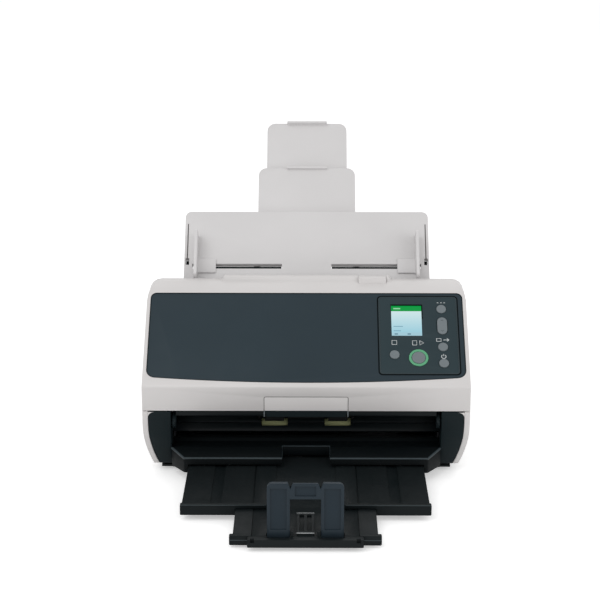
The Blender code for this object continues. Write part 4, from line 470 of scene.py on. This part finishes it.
def refined(node, paint, edge, merge=meshLook["merge"]):
    # the node's own shape with merged corners and, where edge isn't 0, softened edges
    sharp = math.radians(meshLook["sharp"])
    onlySelect(frame["nodes"][node])
    bpy.ops.object.duplicate()
    piece = bpy.context.object
    piece.name = node + "_finished"
    for key in list(piece.keys()):
        del piece[key]
    bpy.ops.object.mode_set(mode="EDIT")
    bpy.ops.mesh.select_all(action="SELECT")
    bpy.ops.mesh.remove_doubles(threshold=merge)
    if edge:
        bpy.ops.mesh.dissolve_limited(angle_limit=math.radians(meshLook["flat"]))
    bpy.ops.mesh.normals_make_consistent(inside=False)
    bpy.ops.object.mode_set(mode="OBJECT")
    piece.data.materials.clear()
    piece.data.materials.append(paints[paint])
    if edge:
        bpy.ops.object.modifier_add(type="BEVEL")
        bevel = piece.modifiers[-1]
        bevel.width = edge
        bevel.segments = 2
        bevel.limit_method = "ANGLE"
        bevel.angle_limit = sharp
        bpy.ops.object.modifier_apply(modifier=bevel.name)
        bpy.ops.object.mode_set(mode="EDIT")
        bpy.ops.mesh.select_all(action="SELECT")
        bpy.ops.mesh.quads_convert_to_tris(quad_method="BEAUTY", ngon_method="BEAUTY")
        bpy.ops.object.mode_set(mode="OBJECT")
    bpy.ops.object.shade_smooth_by_angle(angle=sharp)
    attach(piece, bodyOf[node])
    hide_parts(node)
    return piece


# each node's finish, the width of its softened edges and, where given, how near corners are joined
nodeFinishes = {
    "cover_shell": ("shellPlastic", 0.0005),
    "left_side_cover": ("shellPlastic", 0.0003),
    "right_side_cover": ("shellPlastic", 0.0003),
    "rear_cover": ("shellPlastic", 0.0004),
    "front_cap": ("shellPlastic", 0.0003),
    "release_lever": ("shellPlastic", 0.0004),
    "face_panel": ("slatePlastic", 0.0003),
    "operator_panel": ("controlPlastic", 0.0003),
    "left_front_pillar": ("pillarPlastic", 0.0008),
    "right_front_pillar": ("pillarPlastic", 0.0008),
    "lower_trim": ("guidePlastic", 0.0003),
    "tray_housing": ("housingPlastic", 0.0002),
    "stacker_plate": ("trayPlastic", 0.0003, 0.00022),  # with its 0.1 mm steps joined
    "stacker_extension_1": ("trayPlastic", 0.0003),
    "stacker_extension_2": ("trayPlastic", 0.0003),
    "stopper": ("stopperPlastic", 0.0003),
    "bottom_pan": ("trayPlastic", 0.0),
    "chute": ("chutePlastic", 0.0004),
    "left_side_guide": ("chutePlastic", 0.0004),
    "right_side_guide": ("chutePlastic", 0.0004),
    "chute_extension_1": ("chutePlastic", 0.0004),
    "chute_extension_2": ("chutePlastic", 0.0004),
    "scan_ring": ("greenRing", 0.0002),
    "screen": ("controlPlastic", 0.0002),
    "menu_button": ("keyPlastic", 0.0003),
    "manual_feed_button": ("keyPlastic", 0.0003),
    "power_button": ("keyPlastic", 0.0003),
    "stop_button": ("keyPlastic", 0.0003),
    "scan_button": ("keyPlastic", 0.0003),
    "rocker_button": ("keyPlastic", 0.0003),
    "eject_roller": ("darkSteel", 0.0),
    "feed_roller": ("bareSteel", 0.0),
    "pick_roller": ("bareSteel", 0.0),
    "eject_idler": ("blackRubber", 0.0),
    "feed_idler": ("blackRubber", 0.0),
    "brake_roller": ("blackRubber", 0.0),
    "dc_inlet": ("trayPlastic", 0.0002),
    "data_ports": ("bareSteel", 0.0002),
    "front_left_foot": ("blackRubber", 0.0005),
    "front_right_foot": ("blackRubber", 0.0005),
    "rear_left_foot": ("blackRubber", 0.0005),
    "rear_right_foot": ("blackRubber", 0.0005),
    "lower_guide": ("guidePlastic", 0.0002),
    "inner_guide": ("guidePlastic", 0.0002),
    "lower_scan_head": ("pillarPlastic", 0.0003),
    "upper_scan_head": ("pillarPlastic", 0.0003),
    "lower_glass": ("clearGlass", 0.0002),
    "upper_glass": ("clearGlass", 0.0002),
    "left_hinge_arm": ("pillarPlastic", 0.0),
    "right_hinge_arm": ("pillarPlastic", 0.0),
    "chassis": ("darkSteel", 0.0),
    "feed_motor": ("motorSteel", 0.0003),
    "pick_motor": ("motorSteel", 0.0003),
    "pick_gear": ("nylonPlastic", 0.0),
    "idler_gear": ("nylonPlastic", 0.0),
    "motor_pinion": ("nylonPlastic", 0.0),
    "motor_pulley": ("nylonPlastic", 0.0),
    "transport_belt": ("blackRubber", 0.0),
    "main_board": ("boardMask", 0.0),
    "button_board": ("boardMask", 0.0),
}
pieces = {node: refined(node, *finish) for node, finish in nodeFinishes.items()}
print("packed shapes refined:", len(pieces))


# a second finish on the faces that wanted(centre, normal) names
def repaintFaces(piece, paint, wanted):
    piece.data.materials.append(paints[paint])
    index = len(piece.data.materials) - 1
    for face in piece.data.polygons:
        if wanted(face.center, face.normal):
            face.material_index = index


def tyreFaces(node, radius, halfWidth):
    low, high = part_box(node)
    axisY, axisZ = (low.y + high.y) / 2, (low.z + high.z) / 2

    def wanted(centre, normal):
        return abs(centre.x) < halfWidth and math.hypot(centre.y - axisY, centre.z - axisZ) > radius

    return wanted


tyreLook = {"shaftRadius": 0.0027, "halfWidth": 0.060}
for node, rubber in (("eject_roller", "tyreRubber"), ("feed_roller", "tyreRubber"), ("pick_roller", "blackRubber")):
    repaintFaces(pieces[node], rubber, tyreFaces(node, tyreLook["shaftRadius"], tyreLook["halfWidth"]))


def paneFaces(centre, normal):
    # the screen's top faces that look out along the panel's slope
    spot = panelSlope.inverted() @ centre
    out = (panelSlope.to_3x3().inverted() @ normal).z
    rim = screenLook["rim"]
    within = screenLook["left"] - rim < spot.x < screenLook["right"] + rim
    return out > 0.9 and within and spot.z > -screenLook["depth"]


repaintFaces(pieces["screen"], "displayPane", paneFaces)
print("tyres and display painted")

# the sockets at the back: dark inside, with their contacts
portLook = {
    "mouth": 0.1685,
    "floor": 0.1642,
    "end": 0.1688,
    "usb": (-0.066, 0.03775),
    "network": (-0.038, 0.0440),
    "inlet": (-0.095, 0.0375),
    "usbPitch": 0.0014,
    "usbLine": 0.0030,
    "contacts": 8,
    "contactPitch": 0.0012,
    "contactDrop": 0.0016,
    "contactLine": 0.0006,
    "pinLine": 0.0016,
}
repaintFaces(pieces["data_ports"], "guidePlastic", lambda centre, normal: centre.y < frontY + portLook["mouth"])

# a shallow dish in the top of each button
dishLook = {"rims": (0.0011, 0.0010), "drop": 0.00016, "level": 0.999, "reach": 0.00005}
outward = panelSlope.to_3x3() @ Vector((0, 0, 1))
for node in ("menu_button", "manual_feed_button", "power_button", "stop_button", "scan_button"):
    piece = pieces[node]
    onlySelect(piece)
    top = max((panelSlope.inverted() @ corner.co).z for corner in piece.data.vertices)
    bpy.ops.object.mode_set(mode="EDIT")
    bpy.ops.mesh.select_all(action="DESELECT")
    bpy.ops.object.mode_set(mode="OBJECT")
    for face in piece.data.polygons:
        spot = panelSlope.inverted() @ face.center
        face.select = face.normal.dot(outward) > dishLook["level"] and spot.z > top - dishLook["reach"]
    bpy.ops.object.mode_set(mode="EDIT")
    bpy.ops.mesh.select_mode(type="FACE")
    for depth, rim in enumerate(dishLook["rims"], 1):
        bpy.ops.mesh.inset(thickness=rim, depth=0)
        bpy.ops.transform.translate(value=-outward * dishLook["drop"] * depth)
    bpy.ops.object.mode_set(mode="OBJECT")
    smoothed(piece)
print("buttons dished")


# thin lines laid on a surface: seams, borders and marks
def onPanel(x, along, out=0.0):
    return panelSlope @ Vector((x, along, out))


def onChute(x, along, out=0.0):
    return chuteSlope @ Vector((x, along, out))


def onFront(x, z, out=0.0):
    return Vector((x, frontY - out, z))


def rounded(corners, turns=6):
    # a closed path through (x, y, radius) corners, each turned on its radius in a few steps
    path = []
    count = len(corners)
    for index, (x, y, radius) in enumerate(corners):
        here = Vector((x, y))
        before = Vector(corners[index - 1][:2]) - here
        after = Vector(corners[(index + 1) % count][:2]) - here
        if not radius:
            path.append((x, y))
            continue
        half = before.angle(after) / 2
        reach = radius / math.tan(half)
        start, end = here + before.normalized() * reach, here + after.normalized() * reach
        centre = here + (before.normalized() + after.normalized()).normalized() * radius / math.sin(half)
        first, last = start - centre, end - centre
        turn = first.angle_signed(last)
        for step in range(turns + 1):
            spin = Matrix.Rotation(-turn * step / turns, 2)
            path.append(tuple(centre + spin @ first))
    return path


def layLine(name, runs, thick, paint, body, closed=False):
    # one piece made of round lines through the given points
    data = bpy.data.curves.new(name, "CURVE")
    data.dimensions = "3D"
    data.bevel_depth = thick / 2
    data.bevel_resolution = 1
    data.use_fill_caps = True
    for run in runs:
        spline = data.splines.new("POLY")
        spline.points.add(len(run) - 1)
        for point, place in zip(spline.points, run):
            point.co = (*place, 1)
        spline.use_cyclic_u = closed
    piece = bpy.data.objects.new(name, data)
    bpy.context.scene.collection.objects.link(piece)
    onlySelect(piece)
    bpy.ops.object.convert(target="MESH")
    return placed(smoothed(bpy.context.object), paint, body)


# the dark face's border: straight sides, and a lower edge that sags towards the middle
faceLook = {
    "half": 0.1464,
    "top": 0.0986,
    "low": 0.0007,
    "sag": 0.0058,
    "topRadius": 0.0055,
    "lowRadius": 0.008,
    "border": 0.0013,
    "sink": 0.0005,
    "steps": 8,
}
bow = []
for step in range(1, 2 * faceLook["steps"]):
    x = faceLook["half"] * (step / faceLook["steps"] - 1)
    bow.append((x, faceLook["low"] + faceLook["sag"] * (x / faceLook["half"]) ** 2, 0))
faceCorner = faceLook["low"] + faceLook["sag"]
faceEdge = rounded([
    (-faceLook["half"], faceLook["top"], faceLook["topRadius"]),
    (-faceLook["half"], faceCorner, faceLook["lowRadius"]),
    *bow,
    (faceLook["half"], faceCorner, faceLook["lowRadius"]),
    (faceLook["half"], faceLook["top"], faceLook["topRadius"]),
])
layLine("faceBorder", [[onPanel(x, y, -faceLook["sink"]) for x, y in faceEdge]],
        faceLook["border"], "edgePlastic", "cover", closed=True)

# the operator panel's groove: a near-black line of painted shade in it, with a thin line of painted highlight inside
operatorLook = {
    "left": 0.0669,
    "right": 0.1415,
    "low": 0.0095,
    "high": 0.0953,
    "shadow": 0.0015,
    "shadowRadius": 0.0034,
    "shadowSink": 0.0006,
    "glint": 0.0005,
    "glintRadius": 0.0022,
    "glintSink": 0.00012,
    "inset": 0.0013,
}


def operatorEdge(inset, radius):
    left, right = operatorLook["left"] + inset, operatorLook["right"] - inset
    low, high = operatorLook["low"] + inset, operatorLook["high"] - inset
    return rounded([(left, high, radius), (left, low, radius), (right, low, radius), (right, high, radius)])


for part, inset, paint in (("shadow", 0, "paintedShade"), ("glint", operatorLook["inset"], "paintedHighlight")):
    path = operatorEdge(inset, operatorLook[part + "Radius"])
    layLine("operator" + part.capitalize(), [[onPanel(x, y, -operatorLook[part + "Sink"]) for x, y in path]],
            operatorLook[part], paint, "cover", closed=True)

capLook = {"half": 0.03845, "top": 0.07595, "low": 0.0626, "radius": 0.0015, "seam": 0.0008, "sink": 0.00025}
capEdge = rounded([
    (capLook["half"], capLook["low"], 0),
    (capLook["half"], capLook["top"], capLook["radius"]),
    (-capLook["half"], capLook["top"], capLook["radius"]),
    (-capLook["half"], capLook["low"], 0),
])
layLine("capSeam", [[onFront(x, z, -capLook["sink"]) for x, z in capEdge]],
        capLook["seam"], "seamPlastic", "cover")
print("panel borders and cap seam laid")

# small marks beside the buttons
markLook = {
    "line": 0.0008,
    "sink": 0.00022,
    "size": 1.3,
    "menu": (0.1263, 0.0880),
    "feed": (0.1264, 0.0466),
    "power": (0.1266, 0.0288),
    "stop": (0.0815, 0.0440),
    "scan": (0.1035, 0.0436),
}


def mark(key, strokes):
    # strokes are drawn round the mark's own middle, before it is made larger
    (x, along), size = markLook[key], markLook["size"]
    runs = [[onPanel(x + dx * size, along + dy * size, -markLook["sink"]) for dx, dy in stroke] for stroke in strokes]
    layLine(key + "Mark", runs, markLook["line"], "markInkAndHighlight", "cover")


def ring(radius, start, end, steps=14):
    # an arc round the mark's middle, from start to end in degrees
    turned = [math.radians(start + (end - start) * step / steps) for step in range(steps + 1)]
    return [(radius * math.cos(value), radius * math.sin(value)) for value in turned]


def boxPath(left, right, low, high):
    return [(left, low), (left, high), (right, high), (right, low), (left, low)]


mark("menu", [[(x - 0.0006, 0), (x + 0.0006, 0)] for x in (-0.0024, 0, 0.0024)])
mark("feed", [
    boxPath(-0.0044, -0.0012, -0.0010, 0.0014),
    [(0.0004, 0.0002), (0.0044, 0.0002)],
    [(0.0030, 0.0014), (0.0044, 0.0002), (0.0030, -0.0010)],
])
mark("power", [ring(0.0016, 125, 415), [(0, 0.0021), (0, 0.0004)]])
mark("stop", [boxPath(-0.0017, 0.0017, -0.0017, 0.0017)])
mark("scan", [
    boxPath(-0.0040, -0.0010, -0.0018, 0.0018),
    [(0.0012, 0.0018), (0.0012, -0.0018), (0.0040, 0), (0.0012, 0.0018)],
])

# an arrow head at each end of the rocker
rockerLook = {"inset": 0.0030, "half": 0.0011, "rise": 0.0009, "line": 0.0005, "sink": 0.00012}
rockerSpots = [panelSlope.inverted() @ corner.co for corner in pieces["rocker_button"].data.vertices]
rockerLow, rockerHigh = min(spot.y for spot in rockerSpots), max(spot.y for spot in rockerSpots)
rockerX = (min(spot.x for spot in rockerSpots) + max(spot.x for spot in rockerSpots)) / 2
rockerTop = max(spot.z for spot in rockerSpots) - rockerLook["sink"]
arrowRuns = []
for tip, way in ((rockerHigh - rockerLook["inset"], 1), (rockerLow + rockerLook["inset"], -1)):
    foot = tip - rockerLook["rise"] * way
    corners = ((-rockerLook["half"], foot), (0, tip), (rockerLook["half"], foot))
    arrowRuns.append([onPanel(rockerX + dx, along, rockerTop) for dx, along in corners])
layLine("rockerArrows", arrowRuns, rockerLook["line"], "controlPlastic", "rocker_button")

# the shadow along the screen's upper and right edges
shadeLook = {
    "upper": ((0.0789, 0.0856), (0.1083, 0.0856)),
    "right": ((0.1082, 0.0856), (0.1082, 0.0700)),
    "sink": 0.0001,
    "line": 0.0008,
}
shadeRuns = [[onPanel(x, along, -shadeLook["sink"]) for x, along in shadeLook[key]] for key in ("upper", "right")]
layLine("screenShade", shadeRuns, shadeLook["line"], "paintedShade", "cover")
print("button marks laid")

# seams and slits on the dark corners beside the exit
pillarLook = {
    "seam": ((0.1444, 0.0520), (0.1322, 0.0520)),
    "slit": ((0.1262, 0.0440), (0.1262, 0.0540)),
    "arcCentre": (0.1220, 0.0487),
    "arcRadius": 0.0090,
    "arcHalf": 38,
    "line": 0.0006,
    "sink": 0.0002,
}
arcPath = []
for step in range(9):
    turn = math.radians(pillarLook["arcHalf"] * (step / 4 - 1))
    arcPath.append((pillarLook["arcCentre"][0] + pillarLook["arcRadius"] * math.cos(turn),
                    pillarLook["arcCentre"][1] + pillarLook["arcRadius"] * math.sin(turn)))
for side, name in ((-1, "left"), (1, "right")):
    runs = [[onFront(side * x, z, -pillarLook["sink"]) for x, z in path]
            for path in (pillarLook["seam"], arcPath, pillarLook["slit"])]
    layLine(name + "PillarLines", runs, pillarLook["line"], "edgePlastic", "base")


# a thin plate in a given frame, drawn out to its size and with softened edges
def thinPlate(name, place, lowCorner, highCorner, paint, body, edge=0.0002):
    bpy.ops.object.select_all(action="DESELECT")
    bpy.ops.mesh.primitive_cube_add(size=1)
    piece = bpy.context.object
    piece.name = name
    size = [high - low for low, high in zip(lowCorner, highCorner)]
    middle = [(high + low) / 2 for low, high in zip(lowCorner, highCorner)]
    piece.matrix_world = place @ Matrix.Translation(middle) @ Matrix.Diagonal((*size, 1))
    bpy.ops.object.transform_apply(location=True, rotation=True, scale=True)
    bpy.ops.object.modifier_add(type="BEVEL")
    piece.modifiers[-1].width = edge
    piece.modifiers[-1].segments = 2
    bpy.ops.object.modifier_apply(modifier=piece.modifiers[-1].name)
    return placed(smoothed(piece), paint, body)


# dark floors that close the chute's slots from behind, and a line up each side
chuteLook = {
    "back": -0.0089,
    "floor": 0.0003,
    "slot": (0.0245, 0.1105, 0.1652, 0.1698),
    "hole": (0.1144, 0.1176, 0.1692, 0.1758),
    "floorEdge": 0.0001,
    "lineX": 0.1160,
    "lineEnds": (0.1755, 0.2128),
    "line": 0.0008,
    "sink": 0.0030,
}
for side, name in ((-1, "left"), (1, "right")):
    for kind in ("slot", "hole"):
        near, far, low, high = chuteLook[kind]
        start, end = sorted((side * near, side * far))
        thinPlate(name + kind.capitalize() + "Floor", chuteSlope,
                  (start, low, chuteLook["back"]), (end, high, chuteLook["back"] + chuteLook["floor"]),
                  "edgePlastic", "base", chuteLook["floorEdge"])
    line = [onChute(side * chuteLook["lineX"], along, -chuteLook["sink"]) for along in chuteLook["lineEnds"]]
    layLine(name + "ChuteLine", [line], chuteLook["line"], "seamPlastic", "base")
print("pillar lines and chute floors laid")


# painted highlights: lighter lines laid along the rounded lips of the tray and the stacker, where their edges catch
# the light
def onTable(x, y, z):
    return Vector((x, frontY + y, z))


lipHighlightLook = {
    "trayLine": 0.0022,
    "notchLine": 0.0010,
    "stackerLine": 0.0012,
    "frameLine": 0.0006,
    "tray": ((-0.1232, -0.0006, 0.0262), (-0.1110, -0.0174, 0.0228), (-0.0218, -0.0174, 0.0228)),
    "notch": (
        (-0.0220, -0.0165, 0.0230),
        (-0.0220, 0.0050, 0.0260),
        (0.0220, 0.0050, 0.0260),
        (0.0220, -0.0165, 0.0230),
    ),
    "plate": ((0.1083, -0.1046, 0.0146), (0.0345, -0.1046, 0.0146)),  # stops at the stopper's bay
    "extension": ((-0.0633, -0.1596, 0.0069), (0.0633, -0.1596, 0.0069)),
    "frameHalf": 0.0074,
    "frameEnds": (-0.1168, -0.1578),
    "frameTop": 0.01254,
}


def lipHighlightRun(key, side=1):
    return [onTable(side * x, y, z) for x, y, z in lipHighlightLook[key]]


layLine("trayLipHighlight", [lipHighlightRun("tray"), lipHighlightRun("tray", -1)], lipHighlightLook["trayLine"], "paintedHighlight", "base")
layLine("notchLipHighlight", [lipHighlightRun("notch")], lipHighlightLook["notchLine"], "paintedHighlight", "base")
layLine("plateLipHighlight", [lipHighlightRun("plate", -1), lipHighlightRun("plate")],
        lipHighlightLook["stackerLine"], "paintedHighlight", "stacker_plate")
layLine("extensionLipHighlight", [lipHighlightRun("extension")], lipHighlightLook["stackerLine"], "paintedHighlight", "stacker_extension_1")
# painted highlight: white lines on the frame's front and back top edges, where the light glints
frameHighlights = [[onTable(side * lipHighlightLook["frameHalf"], y, lipHighlightLook["frameTop"]) for side in (-1, 1)]
             for y in lipHighlightLook["frameEnds"]]
layLine("frameHighlight", frameHighlights, lipHighlightLook["frameLine"], "markInkAndHighlight", "stacker_extension_2")
# the tongue behind the first extension, which closes the stopper's bay from below
bayLook = {"half": 0.0440, "back": -0.0480, "front": -0.0752, "low": 0.0064, "high": 0.0076}
thinPlate("bayTongue", Matrix.Translation((0, frontY, 0)), (-bayLook["half"], bayLook["front"], bayLook["low"]),
          (bayLook["half"], bayLook["back"], bayLook["high"]), "trayPlastic", "stacker_extension_1")
print("tray and stacker lips laid")


# a thin plate drawn flat on the front, filled inside its outline
def frontPlate(name, outline, near, far, paint, body, edge=0.0001):
    data = bpy.data.curves.new(name, "CURVE")
    data.dimensions = "2D"
    data.fill_mode = "BOTH"
    data.extrude = (far - near) / 2
    spline = data.splines.new("POLY")
    spline.points.add(len(outline) - 1)
    for point, (x, z) in zip(spline.points, outline):
        point.co = (x, z, 0, 1)
    spline.use_cyclic_u = True
    piece = bpy.data.objects.new(name, data)
    bpy.context.scene.collection.objects.link(piece)
    onlySelect(piece)
    bpy.ops.object.convert(target="MESH")
    piece = bpy.context.object
    upright = Matrix.Rotation(math.radians(90), 4, "X")
    piece.matrix_world = Matrix.Translation((0, frontY + (near + far) / 2, 0)) @ upright
    bpy.ops.object.transform_apply(location=True, rotation=True, scale=True)
    bpy.ops.object.mode_set(mode="EDIT")
    bpy.ops.mesh.select_all(action="SELECT")
    bpy.ops.mesh.remove_doubles(threshold=meshLook["merge"])
    bpy.ops.mesh.dissolve_limited(angle_limit=math.radians(meshLook["flat"]))
    bpy.ops.mesh.normals_make_consistent(inside=False)
    bpy.ops.mesh.select_all(action="DESELECT")
    bpy.ops.object.mode_set(mode="OBJECT")
    bpy.ops.object.modifier_add(type="BEVEL")
    piece.modifiers[-1].width = edge
    bpy.ops.object.modifier_apply(modifier=piece.modifiers[-1].name)
    return placed(smoothed(piece), paint, body)


# the grip under the cap, with a light pin at each end, and the shell's rounded corners over the pillars
gripLook = {
    "half": 0.0380,
    "lowHalf": 0.0360,
    "top": 0.0622,
    "low": 0.0562,
    "radius": 0.001,
    "near": 0.0009,
    "far": 0.0024,
    "pinX": 0.0383,
    "pinLow": 0.0566,
    "pinSink": 0.0007,
    "pin": 0.0009,
}
gripEdge = rounded([
    (gripLook["half"], gripLook["top"], 0),
    (-gripLook["half"], gripLook["top"], 0),
    (-gripLook["lowHalf"], gripLook["low"], gripLook["radius"]),
    (gripLook["lowHalf"], gripLook["low"], gripLook["radius"]),
])
frontPlate("capGrip", gripEdge, gripLook["near"], gripLook["far"], "pillarPlastic", "cover")
pinRuns = [[onFront(side * gripLook["pinX"], z, -gripLook["pinSink"]) for z in (gripLook["top"], gripLook["pinLow"])]
           for side in (-1, 1)]
layLine("capPins", pinRuns, gripLook["pin"], "keyPlastic", "cover")
cornerLook = {"edge": 0.1449, "top": 0.0610, "radius": 0.0055, "near": -0.0002, "far": 0.0006, "steps": 9}
edge, top, radius = cornerLook["edge"], cornerLook["top"], cornerLook["radius"]
for side, name in ((-1, "left"), (1, "right")):
    outline = [(side * edge, top), (side * (edge - radius), top)]
    for step in range(1, cornerLook["steps"]):
        turn = math.radians(90 * step / cornerLook["steps"])
        outline.append((side * (edge - radius + radius * math.sin(turn)), top - radius + radius * math.cos(turn)))
    outline.append((side * edge, top - radius))
    frontPlate(name + "CornerFillet", outline, cornerLook["near"], cornerLook["far"], "shellPlastic", "base")
print("grip and corners laid")


def acrossPort(x, z, drop=0.0):
    # a straight run from the floor of a socket to near its mouth, which may drop on the way
    return [Vector((x, frontY + portLook["floor"], z)), Vector((x, frontY + portLook["end"], z - drop))]


portX, portZ = portLook["usb"]
usbRuns = [acrossPort(portX + step * portLook["usbPitch"], portZ) for step in range(-2, 3)]
layLine("usbTongue", usbRuns, portLook["usbLine"], "nylonPlastic", "base")
portX, portZ = portLook["network"]
contactMiddle = (portLook["contacts"] - 1) / 2
contactRuns = [
    acrossPort(portX + (step - contactMiddle) * portLook["contactPitch"], portZ, portLook["contactDrop"])
    for step in range(portLook["contacts"])
]
layLine("networkContacts", contactRuns, portLook["contactLine"], "goldContact", "base")
layLine("inletPin", [acrossPort(*portLook["inlet"])], portLook["pinLine"], "bareSteel", "base")
print("socket contacts laid")

low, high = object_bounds()
